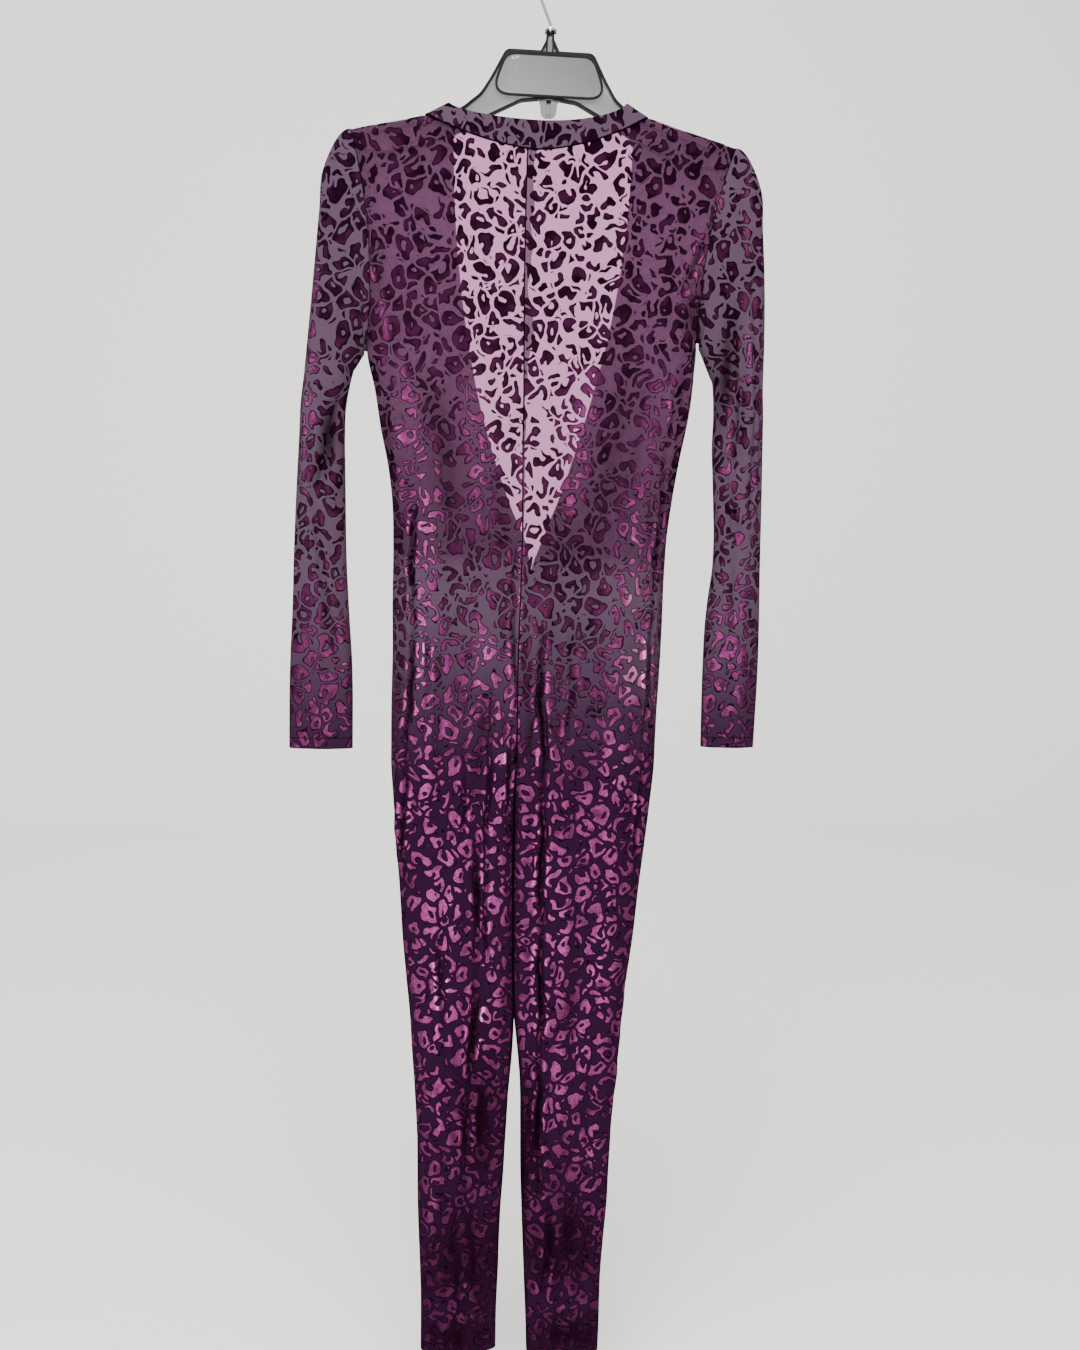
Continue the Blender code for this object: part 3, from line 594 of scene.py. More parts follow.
def burnout_velvet(name, ground_alpha, lower_alpha, shift, wrong_side=None):
    """Sheer stretch mesh with velvet spots left in its pile: dull when looked at square on,
    silky magenta in its sheen, which shows only as far as a painted sheen mark lets it.
    ground_alpha and lower_alpha are how much the mesh hides above the waist and below the hips,
    and shift is where its print starts. The wrong side has no pile; wrong_side gives its ground
    tones above and below the waist and how far spots show on it. Painted shade darkens the mesh
    below the hips, along the seams and where the pile is pressed flat."""
    made = bpy.data.materials.new(name)
    made.use_nodes = True
    tree = made.node_tree
    tree.nodes.clear()

    def add(kind, *values, **details):
        return node(tree, kind, *values, **details)

    def spread(draw, least, most):
        return add("Math.MULTIPLY_ADD", draw, most - least, least)

    def rotated(x, y, angle):
        cosine, sine = add("Math.COSINE", angle), add("Math.SINE", angle)
        return (
            add("Math.ADD", add("Math.MULTIPLY", x, cosine), add("Math.MULTIPLY", y, sine)),
            add("Math.SUBTRACT", add("Math.MULTIPLY", y, cosine), add("Math.MULTIPLY", x, sine)),
        )

    def length(x, y):
        return add("Math.SQRT", add("Math.MULTIPLY_ADD", x, x, add("Math.MULTIPLY", y, y)))

    def wave(scale, reach):
        height = add("TexNoise.2D", Vector=uv, Scale=scale, Detail=0.0)
        shifted = add("VectorMath.SUBTRACT", height.node.outputs["Color"], (0.5, 0.5, 0.5))
        return height, add("VectorMath.MULTIPLY", shifted, (reach, reach, 0.0))

    def scattered(pitch, jitter, move):
        """Cells of a pitch in millimetres: the place from the cell's point, along and across,
        three draws of its own from 0 to 1, and the distance to the cell's border."""
        places = add("VectorMath.MULTIPLY", askew, (1000 / pitch, 1000 / pitch, 0.0))
        places = add("VectorMath.ADD", places, (move, move * 0.7, 0.0))
        cell, edge = (
            add(kind, voronoi_dimensions="2D", Vector=places, Scale=1.0, Randomness=jitter).node.outputs
            for kind in ("TexVoronoi.F1", "TexVoronoi.DISTANCE_TO_EDGE")
        )
        away = add("VectorMath.SUBTRACT", places, cell["Position"])
        away = add("VectorMath.MULTIPLY", away, (pitch, pitch, 0.0))
        away = add("SeparateXYZ", add("VectorRotate.Z_AXIS", away, Angle=-ASKEW)).node.outputs
        draws = add("SeparateColor", cell["Color"]).node.outputs
        return away[0], away[1], list(draws)[:3], add("Math.MULTIPLY", edge["Distance"], pitch)

    uv = add("UVMap", uv_map="cloth")
    place = add("TexCoord").node.outputs["Object"]
    height = add("SeparateXYZ", place).node.outputs["Z"]
    slow, slow_wave = wave(32.0, 0.016)
    quick, quick_wave = wave(105.0, 0.0060)
    bent = add("VectorMath.ADD", add("VectorMath.ADD", uv, slow_wave), quick_wave)
    askew = add("VectorRotate.Z_AXIS", bent, Angle=ASKEW)
    # Large spots: rings about 15 by 20 mm, whole ones and ones open on a side like a C, whose
    # stroke reaches this many radians round from its middle to each end
    x, y, (kind, turn, size), edge_gap = scattered(LARGE_PITCH, 0.74, shift)
    x, y = rotated(x, y, spread(size, -0.65, 0.65))
    y = add("Math.MULTIPLY", y, 0.76)
    along, aside = rotated(x, y, add("Math.MULTIPLY", turn, 2 * pi))
    aside = add("Math.ABSOLUTE", aside)
    reach = add("Math.MAXIMUM", add("MapRange.LINEAR", kind, WHOLE_RINGS, 1.0, 2.55, 0.75),
                  add("Math.MULTIPLY", add("Math.LESS_THAN", kind, WHOLE_RINGS), pi))
    middle_radius = spread(turn, *RING_RADIUS)
    stroke = add("Math.MULTIPLY_ADD", add("Math.SUBTRACT", quick, 0.5), 1.6, spread(size, *RING_STROKE))
    end_aside, end_along = add("Math.SINE", reach), add("Math.COSINE", reach)
    past_end = add(
        "Math.GREATER_THAN", add("Math.MULTIPLY", end_along, aside), add("Math.MULTIPLY", end_aside, along),
    )
    on_ring = add("Math.ABSOLUTE", add("Math.SUBTRACT", length(aside, along), middle_radius))
    on_end = length(
        add("Math.SUBTRACT", aside, add("Math.MULTIPLY", end_aside, middle_radius)),
        add("Math.SUBTRACT", along, add("Math.MULTIPLY", end_along, middle_radius)),
    )
    large = add("Math.SUBTRACT", add(CHOOSE, past_end, on_ring, on_end), stroke)
    large = add("Math.SMOOTH_MAX", large, add("Math.SUBTRACT", 1.7, edge_gap), 1.0)
    # Small spots between them: dots, beans and three-sided scraps
    x, y, (kind, turn, size), edge_gap = scattered(SMALL_PITCH, 0.8, shift * 1.7 + 5.3)
    along, aside = rotated(x, y, add("Math.MULTIPLY", turn, 2 * pi))
    past_bean = add("Math.SUBTRACT", add("Math.ABSOLUTE", along), spread(size, *BEAN_REACH))
    bean = length(add("Math.MAXIMUM", past_bean, 0.0), aside)
    bean = add("Math.SUBTRACT", bean, spread(kind, *BEAN_STROKE))
    bean = add("Math.MULTIPLY_ADD", add("Math.LESS_THAN", kind, LEFT_EMPTY), OUT_OF_REACH, bean)
    small = add("Math.SMOOTH_MAX", bean, add("Math.SUBTRACT", 1.6, edge_gap), 0.8)
    small = add("Math.SMOOTH_MAX", small, add("Math.SUBTRACT", 3.0, large), 2.6)
    # Millimetres inside the nearest spot's edge
    inside = add("Math.MULTIPLY", add("Math.MINIMUM", large, small), -1.0)
    # The brushed pile of the legs spreads over the ground
    inside = add("Math.ADD", inside, add(RAMP, height, -0.58, -0.86, 0.0, 0.25))
    pile = add(RAMP, inside, -0.3, 0.3)
    middle = add(RAMP, inside, 0.3, 1.5)
    # Overlocked allowance behind the centre seam, its edge uneven, doubled hems with a row of
    # stitches along their top, and painted shade along every seam
    marks = {}
    for mark in ("allowance", "seam_distance", "hem_distance", "brushed", "crushed_and_shaded"):
        marks[mark] = add("Attribute", attribute_name=mark).node.outputs["Fac"]
    ragged = add("Math.MULTIPLY_ADD", add("Math.SUBTRACT", slow, 0.5), 1.6, marks["allowance"])
    in_hem = add(RAMP, marks["hem_distance"], 0.0134, 0.0128)
    doubled = add("Math.MAXIMUM", add(RAMP, ragged, 1.06, 0.94), in_hem)
    stitch_row = add("Math.ABSOLUTE", add("Math.SUBTRACT", marks["hem_distance"], 0.0124))
    stitch_row = add(RAMP, stitch_row, 0.0008, 0.0003)
    seam_shade = add(RAMP, marks["seam_distance"], 0.0013, 0.0005)
    seam_shade_and_stitches = add("Math.MAXIMUM", seam_shade, add("Math.MULTIPLY", stitch_row, 0.7))
    alpha = add(CHOOSE, add(RAMP, height, -0.62, -0.67), ground_alpha, lower_alpha)
    alpha = add("Math.MAXIMUM", alpha, add("Math.MULTIPLY", doubled, 0.72))
    cover = add("Math.MAXIMUM", add("Math.MAXIMUM", pile, alpha), seam_shade_and_stitches)

    # The pile's grain is about 1 mm, coarser than real pile so that it shows, and its wear 20 mm
    grain = add("TexNoise", Vector=place, Scale=900.0, Detail=2.0)
    wear = add("TexNoise", Vector=place, Scale=55.0, Detail=3.0)
    # Painted shade: the mesh is painted darker from the hips down to the crotch, and stays dark below
    low = add(RAMP, height, -0.64, -0.90)
    mesh_tone = add(BLEND, add(RAMP, alpha, 0.15, 0.9), linear("#5a475a"), linear("#4b3a4a"))
    if wrong_side:
        upper_tone, lower_tone, spots_show = wrong_side
        mesh_tone = add(BLEND, add(RAMP, height, -0.35, -0.58), linear(upper_tone), linear(lower_tone))
    mesh_tone = add(BLEND, low, mesh_tone, linear("#260f27"))
    pile_middle = add(BLEND, add(RAMP, wear, 0.42, 0.62), linear("#10030e"), linear("#290b22"))
    pile_tone = add(BLEND, middle, linear("#0c010a"), pile_middle)
    if wrong_side:
        pile_tone = add(BLEND, spots_show, mesh_tone, linear("#2c1030"))
    # Painted shade along the seams, and the hems' stitch rows, in near black
    base = add(BLEND, seam_shade_and_stitches, add(BLEND, pile, mesh_tone, pile_tone), linear("#100210"))
    # Pressed pile, with painted shade in crease troughs and shaded patches, darkens the colour
    base = add(BLEND, add("Math.MULTIPLY", marks["crushed_and_shaded"], 0.85), base, linear("#14030f"))
    relief = add("Math.MULTIPLY", pile, add("Math.MULTIPLY_ADD", grain, 0.0003, 0.0005))
    bump = add("Bump", Strength=0.8, Distance=1.0, Height=relief)
    surface = add("BsdfPrincipled", Base_Color=base, Roughness=0.85, Normal=bump, Specular_IOR_Level=0.0)
    if not wrong_side:
        # Brushed pile leans up, so its sheen answers to light from overhead; how far the sheen
        # shows is set by the sheen mark, a painted sheen
        lean = add("VectorMath.ADD", bump, (0.0, 0.0, 0.72))
        leaning = add("VectorMath.NORMALIZE", lean)
        sheen_tone = add(BLEND, add(RAMP, grain, 0.30, 0.72), linear("#561b47"), linear("#a04c85"))
        # Past 1 the painted sheen mark paints a paler highlight tone
        sheen_tone = add(BLEND, add(RAMP, marks["brushed"], 1.0, 1.4), sheen_tone, linear("#c674a6"))
        sheen = add("BsdfPrincipled", Base_Color=sheen_tone, Metallic=1.0, Roughness=0.5, Normal=leaning)
        lying = add("Math.SUBTRACT", 1.0, add("Math.MAXIMUM", marks["crushed_and_shaded"], seam_shade_and_stitches))
        glow = add("Math.MULTIPLY", middle, marks["brushed"])
        glow = add("Math.MULTIPLY", glow, add(RAMP, wear, 0.30, 0.55, 0.45, 1.0))
        glow = add("Math.MULTIPLY", add("Math.MULTIPLY", glow, lying, use_clamp=True), pile)
        surface = add("MixShader", glow, surface, sheen)
    # Light that passes the mesh comes out tinted mauve
    through = add("BsdfTransparent", linear("#ebc6e1"))
    add("OutputMaterial", Surface=add("MixShader", cover, through, surface))
    return made


# Of each panel: how much its mesh hides above the waist and below the hips, and where its
# print starts
CLOTHS = {
    ("back", "left"): (0.15, 0.96, 3.1),
    ("back", "right"): (0.15, 0.96, 17.4),
    ("front", "left"): (0.72, 0.75, 41.2),
    ("front", "right"): (0.72, 0.75, 63.8),
}
# Of its wrong side: the same two, and the mesh's tones above and below the waist and how far
# the spots show there. The front's lies close behind the sheer back, whose mauve tint it
# balances.
WRONG_SIDES = {"back": (0.15, 0.96), "front": (0.97, 0.97)}
WRONG_SIDE_LOOKS = {"back": ("#a08f9d", "#7d6f7b", 1.0), "front": ("#8da597", "#6f8478", 0.15)}
# Width of the allowance behind the centre back seam, right of it, by height
ALLOWANCE = ((-1650, 1.5), (-620, 2.0), (-420, 3.0), (-380, 7.0), (-150, 9.0))
NO_MARK = 9.0

# Painted sheen: where the pile's nap is raised and painted to shine, as a gain by height,
# and patches given by their middle across and height, reach across and down, and gain
PAINTED_SHEEN_BY_HEIGHT = (
    (-1640, 0.14), (-1520, 0.20), (-1380, 0.36), (-1150, 0.54), (-960, 0.48), (-800, 0.30),
    (-680, 0.14), (-580, 0.09), (-460, 0.06), (-330, 0.03), (-150, 0.02),
)
PAINTED_SHEEN_PATCHES = (
    (106, -615, 14, 44, 1.3), (108, -670, 21, 62, 1.4), (110, -750, 25, 90, 1.4),
    (106, -870, 27, 100, 1.2), (98, -990, 26, 110, 0.9), (-122, -600, 13, 80, 0.75),
    (-124, -730, 15, 90, 0.85), (-118, -880, 24, 110, 0.9), (-156, -480, 6, 90, 0.4),
    (-100, -1020, 40, 120, 0.9), (-58, -750, 14, 70, 0.85), (-20, -640, 5, 110, 0.85),
    (-36, -840, 14, 90, 0.8), (-30, -990, 26, 130, 0.8), (44, -1060, 34, 120, 0.9),
    (90, -1120, 30, 120, 1.0), (60, -1240, 40, 110, 1.0), (-104, -1160, 28, 120, 0.95),
    (-46, -1180, 24, 110, 0.8), (-100, -1290, 22, 90, 0.7), (78, -1350, 30, 80, 0.9),
    (-110, -1400, 14, 60, 0.6), (96, -1450, 12, 120, 0.7), (60, -1560, 34, 40, 0.45),
    (-70, -1540, 26, 40, 0.45), (-250, -380, 6, 120, 0.5), (-254, -470, 10, 60, 0.65),
    (-262, -540, 8, 60, 0.45), (-217, -700, 8, 90, 0.65), (-240, -780, 18, 60, 0.4),
    (190, -232, 4, 24, 0.8), (166, -300, 5, 26, 0.7), (222, -250, 4, 60, 0.8),
    (228, -390, 8, 70, 0.6), (248, -420, 6, 130, 0.55), (214, -490, 9, 60, 0.55),
    (240, -600, 16, 110, 0.5), (228, -740, 24, 90, 0.6), (-128, -165, 8, 6, 0.9),
)
# Where the pile is pressed flat and painted with shade: above the ankles, under the right arm and on the
# sleeves
CRUSHED_AND_SHADED = (
    (-57, -1300, 28, 100), (-68, -1500, 42, 80), (-80, -1600, 44, 30), (4, -1350, 16, 100),
    (45, -1475, 48, 60), (60, -1600, 44, 24), (166, -352, 8, 30), (-232, -500, 10, 34),
    (204, -420, 8, 50),
)
# Where the painted sheen is damped in the middle of the hips, leaving it dull and even, and how far
DULL = ((42, -690, 38, 110), (50, -800, 24, 60), (-96, -650, 16, 70), (4, -600, 60, 50))
DULLNESS = 0.62
# Depth in millimetres of a crease's lip that gains a whole painted highlight and the most that
# it gains, and of a trough pressed flat and painted with shade right down, and the share that leaves it
# standing
LIP_TO_SHINE, LIP_SHINE = 2.0, 0.6
TROUGH_TO_CRUSH_AND_SHADE, LEFT_STANDING = 4.0, 0.25
CRUSH_SEED = 47


def patch(x, z, middle_x, middle_z, wide, long):
    """How far a soft patch covers each place of a grid, from 1 in its middle down to 0."""
    return np.exp(-(((x - middle_x) / wide) ** 2) - ((z - middle_z) / long) ** 2)


def glow_marks(grid, face=None):
    """How far the pile's painted sheen shows, painted highlights on crease lips included, and how
    far the pile is pressed flat and painted with shade, at each place of a grid.
    """
    x, z = grid[..., 0], grid[..., 2]
    creased = fold_field(x, z, [fold for fold in CREASES + PULLS if fold.face == face], CREASE_FADE)
    brushed = np.interp(z, *np.array(PAINTED_SHEEN_BY_HEIGHT, float).T)
    for *spot, gain in PAINTED_SHEEN_PATCHES:
        brushed = np.maximum(brushed, gain * patch(x, z, *spot))
    for spot in DULL:
        brushed = brushed * (1 - DULLNESS * patch(x, z, *spot))
    # Painted highlight on each crease's lip and painted shade in its trough
    brushed = brushed + np.clip(creased / LIP_TO_SHINE, 0, LIP_SHINE)
    crushed_and_shaded = np.clip(-creased / TROUGH_TO_CRUSH_AND_SHADE - LEFT_STANDING, 0, 1)
    uneven = 0.85 + 1.3 * ripple(x * 2.2, z * 1.6, CRUSH_SEED)
    for spot in CRUSHED_AND_SHADED:
        crushed_and_shaded = np.clip(np.maximum(crushed_and_shaded, uneven * patch(x, z, *spot)), 0, 1)
    return {"brushed": brushed, "crushed_and_shaded": crushed_and_shaded}


PANEL_CLOTH = 0.5
# Millimetres taken off the painted shade line along each side seam
SIDE_SEAM_SHADE_INSET = 0.8
for half in HALVES:
    for face in ("back", "front"):
        grid = panel_grid(half, face)
        joined = slice(None) if face == "back" else grid[:, 0, 2] < V_TIP_Z
        grid[joined, 0, 0] -= half.side * SEAM_GAP
        grid[:, -1, 1] *= np.abs(grid[:, -1, 1]) > SEAM_GAP
        marks = glow_marks(grid, face)
        x, z = grid[..., 0], grid[..., 2]
        from_centre, from_side = np.abs(x - x[:, :1]), np.abs(x - x[:, -1:]) + SIDE_SEAM_SHADE_INSET
        if face == "front":
            from_centre = from_centre + NO_MARK * (z > V_TIP_Z)
        from_top = np.linalg.norm(grid - grid[:1], axis=2)
        marks["seam_distance"] = np.minimum(np.minimum(from_centre, from_side), from_top) * MM
        marks["allowance"] = np.full(x.shape, NO_MARK)
        if face == "back" and half.side > 0:
            marks["allowance"] = from_centre / np.interp(z, *np.array(ALLOWANCE, float).T)
        marks["hem_distance"] = (z - half.hem_z) * MM
        outer_sign = half.side * (1 if face == "back" else -1)
        cloth, wrong_side = CLOTHS[face, half.name], (*WRONG_SIDES[face], CLOTHS[face, half.name][-1])
        finishes = [
            burnout_velvet(f"burnout_velvet_{face}_{half.name}", *cloth),
            burnout_velvet(
                f"velvet_wrong_side_{face}_{half.name}", *wrong_side, WRONG_SIDE_LOOKS[face]
            ),
        ]
        # The print keeps its scale best along a column near the middle of the panel
        anchor = PANEL_COLUMNS * 11 // 20
        places = half.side * grid[:, anchor, 0] * MM
        panel = cloth_piece(
            f"panel_{face}_{half.name}", grid, False, outer_sign, PANEL_CLOTH, finishes, marks,
            anchor, places,
        )
        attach(panel, "root")
        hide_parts(f"{face}_{half.name}")

# Sleeves: long and set in, each one piece of the same velvet folded round the arm and sewn
# along its underside, its head eased into the armhole and its cuff turned up and stitched.
SleeveRow = namedtuple("SleeveRow", "height left_outer left_inner right_inner right_outer depth")
SLEEVES = (
    SleeveRow(-430, -261, -208, 194, 252, 20),
    SleeveRow(-462, -265, -215, 197, 254, 21),
    SleeveRow(-494, -267, -217, 197, 255, 21),
    SleeveRow(-560, -271, -216, 202, 257, 19),
    SleeveRow(-626, -274, -215, 205, 259, 17),
    SleeveRow(-694, -276, -212, 199, 262, 15),
    SleeveRow(-764, -279, -208, 198, 264, 12),
    SleeveRow(-856, -280, -208, 200, 264, 9),
)
HeadRow = namedtuple("HeadRow", "height left right")
SLEEVE_HEAD = (
    HeadRow(-179, 211, 207),
    HeadRow(-186, 223, 219),
    HeadRow(-197, 233, 229),
    HeadRow(-212, 239, 236),
    HeadRow(-242, 243, 240),
    HeadRow(-304, 249, 246),
    HeadRow(-367, 255, 250),
    HeadRow(-430, 261, 252),
)
SLEEVE_HEAD_STEPS = 6
SLEEVE_STEPS = 12
SLEEVE_SEAM = -0.8
# Folds of the sleeves: half, face, path as (share from the outer edge to the inner one,
# height), half width as a share, depth in millimetres
SleeveFold = namedtuple("SleeveFold", "half face path width depth")
SLEEVE_FOLDS = (
    SleeveFold("left", "back", ((1.0, -440), (0.35, -590)), 0.12, -10),
    SleeveFold("left", "back", ((0.35, -545), (0.55, -650), (0.85, -780)), 0.06, -4),
    SleeveFold("left", "back", ((0.10, -300), (0.12, -480), (0.16, -560)), 0.05, 1.6),
    SleeveFold("left", "back", ((0.55, -690), (0.66, -800)), 0.07, -2.5),
    SleeveFold("left", "front", ((0.7, -400), (0.3, -640)), 0.16, -7),
    SleeveFold("left", "front", ((0.3, -660), (0.6, -800)), 0.08, -4),
    SleeveFold("right", "back", ((0.45, -330), (0.50, -420), (0.60, -560)), 0.10, -8),
    SleeveFold("right", "back", ((0.9, -500), (0.75, -560), (0.45, -640)), 0.12, -6),
    SleeveFold("right", "back", ((0.25, -300), (0.22, -420), (0.30, -600)), 0.05, -3),
    SleeveFold("right", "back", ((0.12, -340), (0.10, -460), (0.12, -640)), 0.04, -2),
    SleeveFold("right", "back", ((0.62, -600), (0.5, -720)), 0.08, -3),
    SleeveFold("right", "front", ((0.4, -380), (0.65, -660)), 0.16, -7),
    SleeveFold("right", "front", ((0.7, -640), (0.4, -800)), 0.08, -4),
)
SLEEVE_FOLD_FADE = 60.0
SLEEVE_FOLD_LIP = 0.25
# Share of the sleeve's width at its edges where folds run out, and of its length at its head
SLEEVE_EDGE_CALM, SLEEVE_HEAD_CALM = 0.10, 0.10
SLEEVE_RIPPLE = 2.0
FRONT_RIPPLE_SHIFT = 60
SLEEVE_COLUMNS = 104
SLEEVE_ROWS = 200
SLEEVE_CLOTH = 0.5


def sleeve_ring(half, head_share):
    """A sleeve's half ring from the armhole (0) to just below the underarm (1)."""
    head = between(SLEEVE_HEAD, mix(SLEEVE_HEAD[0].height, SLEEVE_HEAD[-1].height, head_share))
    row = SLEEVES[0]
    outer_x = half.side * (head.left if half.side < 0 else head.right)
    inner_x = mix(half.under_x, row.left_inner if half.side < 0 else row.right_inner, head_share)
    inner_z = mix(half.under_z, row.height, head_share)
    outer_z = mix(half.tip_z, row.height, head_share)
    points = []
    for index, (share, seam_depth) in enumerate(ARMHOLE):
        angle = pi * index / (len(ARMHOLE) - 1)
        down = mix(share, (1 - cos(angle)) / 2, head_share)
        bow = ARMHOLE_BOW * 4 * share * (1 - share) * (1 - head_share)
        x = mix(outer_x, inner_x, down) - half.side * bow
        round_depth = row.depth * max(sin(angle), 0.0) ** LIMB_ROUND
        points.append((x, mix(seam_depth, round_depth, ease(head_share)), mix(outer_z, inner_z, down)))
    return points


def sleeve_tube_ring(half, z):
    """A level half ring of a sleeve below the underarm, outer point first."""
    row = between(SLEEVES, z)
    outer, inner = row.left_outer, row.left_inner
    if half.side > 0:
        outer, inner = row.right_outer, row.right_inner
    points = []
    for index in range(len(ARMHOLE)):
        angle = pi * index / (len(ARMHOLE) - 1)
        depth = row.depth * max(sin(angle), 0.0) ** LIMB_ROUND
        points.append((mix(outer, inner, (1 - cos(angle)) / 2), depth, z))
    return points


def sleeve_grid(half):
    """The fine rings of a sleeve in millimetres, from the underarm round the back, with its
    folds."""
    seam = [(x + half.side * SLEEVE_SEAM, y, z) for x, y, z in sleeve_ring(half, 0.0)]
    rings = [seam, [(x + half.side * EDGE_STRIP, y, z) for x, y, z in seam]]
    rings += [sleeve_ring(half, step / SLEEVE_HEAD_STEPS) for step in range(1, SLEEVE_HEAD_STEPS + 1)]
    for step in range(1, SLEEVE_STEPS + 1):
        rings.append(sleeve_tube_ring(half, mix(SLEEVES[0].height, half.cuff_z, step / SLEEVE_STEPS)))
    whole = []
    for ring in rings:
        back = [(x, -y, z) for x, y, z in ring[::-1]]
        front = ring[1:-1]
        back[0], back[-1] = (back[0][0], 0.0, back[0][2]), (back[-1][0], 0.0, back[-1][2])
        whole.append(back + front + [back[0]])
    grid = np.array(whole)
    count = grid.shape[1]
    grid = resample(
        grid, 1, np.linspace(0, count - 1, SLEEVE_COLUMNS + 1), np.arange(count, dtype=float)
    )
    grid = evenly(grid, 0, SLEEVE_ROWS)[:, :-1]
    turn = np.linspace(0, 2, SLEEVE_COLUMNS, endpoint=False)[None, :] * np.ones((SLEEVE_ROWS, 1))
    share = (1 + np.cos(pi * turn)) / 2
    push = np.zeros_like(share)
    for fold in SLEEVE_FOLDS:
        if fold.half != half.name:
            continue
        path = np.array(fold.path, float)[::-1]
        across = np.interp(grid[..., 2], path[:, 1], path[:, 0])
        gap = np.abs(share - across) / fold.width
        ends = np.minimum(path[-1, 1] - grid[..., 2], grid[..., 2] - path[0, 1]) / SLEEVE_FOLD_FADE
        side = (turn <= 1) if fold.face == "back" else (turn >= 1)
        calm = ease(np.minimum(share, 1 - share) / SLEEVE_EDGE_CALM + 0.15)
        push += fold.depth * ease(ends) * fold_shape(gap, SLEEVE_FOLD_LIP) * side * calm
    shifted = grid[..., 0] + FRONT_RIPPLE_SHIFT * (turn > 1)
    push += ripple(shifted, grid[..., 2], 5 + half.side) * SLEEVE_RIPPLE
    fade = ease((np.arange(SLEEVE_ROWS) / SLEEVE_ROWS) / SLEEVE_HEAD_CALM)[:, None]
    normals = outward(grid, closed=True)
    middle = grid.mean(axis=1, keepdims=True)
    facing = np.sign((normals * (grid - middle)).sum(axis=2).mean())
    return grid + normals * (facing * push * fade)[..., None]


SLEEVE_VELVET = {"left": (0.93, 0.95, 87.3), "right": (0.93, 0.95, 99.9)}
ARMHOLE_SEAM_DROP = 40
for half in HALVES:
    grid = sleeve_grid(half)
    marks = glow_marks(grid)
    from_head = np.linalg.norm(grid - grid[:1], axis=2)
    marks["seam_distance"] = np.where(
        grid[..., 2] > half.under_z - ARMHOLE_SEAM_DROP, from_head, NO_MARK
    ) * MM
    marks["allowance"] = np.full(grid.shape[:2], NO_MARK)
    marks["hem_distance"] = (grid[..., 2] - half.cuff_z) * MM
    anchor = SLEEVE_COLUMNS // 2
    places = half.side * grid[:, anchor, 0] * MM
    cloth = SLEEVE_VELVET[half.name]
    finishes = [
        burnout_velvet(f"burnout_velvet_sleeve_{half.name}", *cloth),
        burnout_velvet(f"velvet_wrong_side_sleeve_{half.name}", *cloth, WRONG_SIDE_LOOKS["back"]),
    ]
    sleeve = cloth_piece(
        f"set_in_sleeve_{half.name}", grid, True, half.side, SLEEVE_CLOTH, finishes, marks,
        anchor, places,
    )
    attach(sleeve, "root")
    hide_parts(f"sleeve_{half.name}")

# Collar band: a strip of the velvet folded double, standing round the back of the neck and
# sewn to the neck seam, its two ends closed at the tops of the V.
BAND_TOP_Z = -162.5
BAND_RISE = {"left": 14.0, "right": 24.0}
BAND_LEAN = 0.2
LEAN_POWER = 3
BAND_LIFT = 2.2
LIFT_POWER = 12
BAND_CLOTH = 1.2
BAND_PRINT_SCALE = 0.95
# Shrinks the distance to the band's seam, which widens its painted shade line
BAND_SEAM_SHADE_SPREAD = 0.6
BAND_LAP = 0.9
BAND_COLUMNS = 160
BAND_ROWS = 22
NECK_COUNT = sum(neck is not None for _, neck, _ in COLUMNS)


def collar_grid():
    """The band's fine rows from its top edge to its seam, front left end to front right end."""
    stations = []
    for half in HALVES:
        run = [(half, 1, *point) for point in top_line(half, "front")[:NECK_COUNT:2]]
        run.append((half, 0, half.neck_x, 0.0, half.neck_z))
        run += [(half, -1, *point) for point in reversed(top_line(half, "back")[:NECK_COUNT])]
        stations += run if half.side < 0 else run[-2::-1]
    rows = [[], [], []]
    for half, facing, x, depth, z in stations:
        across = max((x - NECK_MIDDLE_X) / (half.neck_x - NECK_MIDDLE_X), 0.0)
        top_x = NECK_MIDDLE_X + (x - NECK_MIDDLE_X) * (1 - BAND_LEAN * across**LEAN_POWER)
        top_z = BAND_TOP_Z + BAND_RISE[half.name] * across**2
        base_z = z - BAND_LAP + BAND_LIFT * across**LIFT_POWER
        for row, share in zip(rows, (1.0, 0.5, 0.0)):
            row.append((mix(x, top_x, share), facing * depth, mix(base_z, top_z, share)))
    return evenly(evenly(np.array(rows, float), 1, BAND_COLUMNS), 0, BAND_ROWS)


BAND_VELVET = (0.95, 0.95, 120.6)
grid = collar_grid()
marks = glow_marks(grid)
marks["seam_distance"] = np.linalg.norm(grid - grid[-1:], axis=2) * BAND_SEAM_SHADE_SPREAD * MM
marks["allowance"] = marks["hem_distance"] = np.full(grid.shape[:2], NO_MARK)
anchor = BAND_COLUMNS // 2
# Folded double, it shows its right side inside and out
finishes = [
    burnout_velvet("burnout_velvet_folded_band", *BAND_VELVET),
    burnout_velvet("velvet_wrong_side_folded_band", *BAND_VELVET),
]
band = cloth_piece(
    "folded_collar_band", grid, False, -1, BAND_CLOTH, finishes, marks, anchor, grid[:, anchor, 0] * MM,
    BAND_PRINT_SCALE,
)
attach(band, "root")
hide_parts("collar_band")

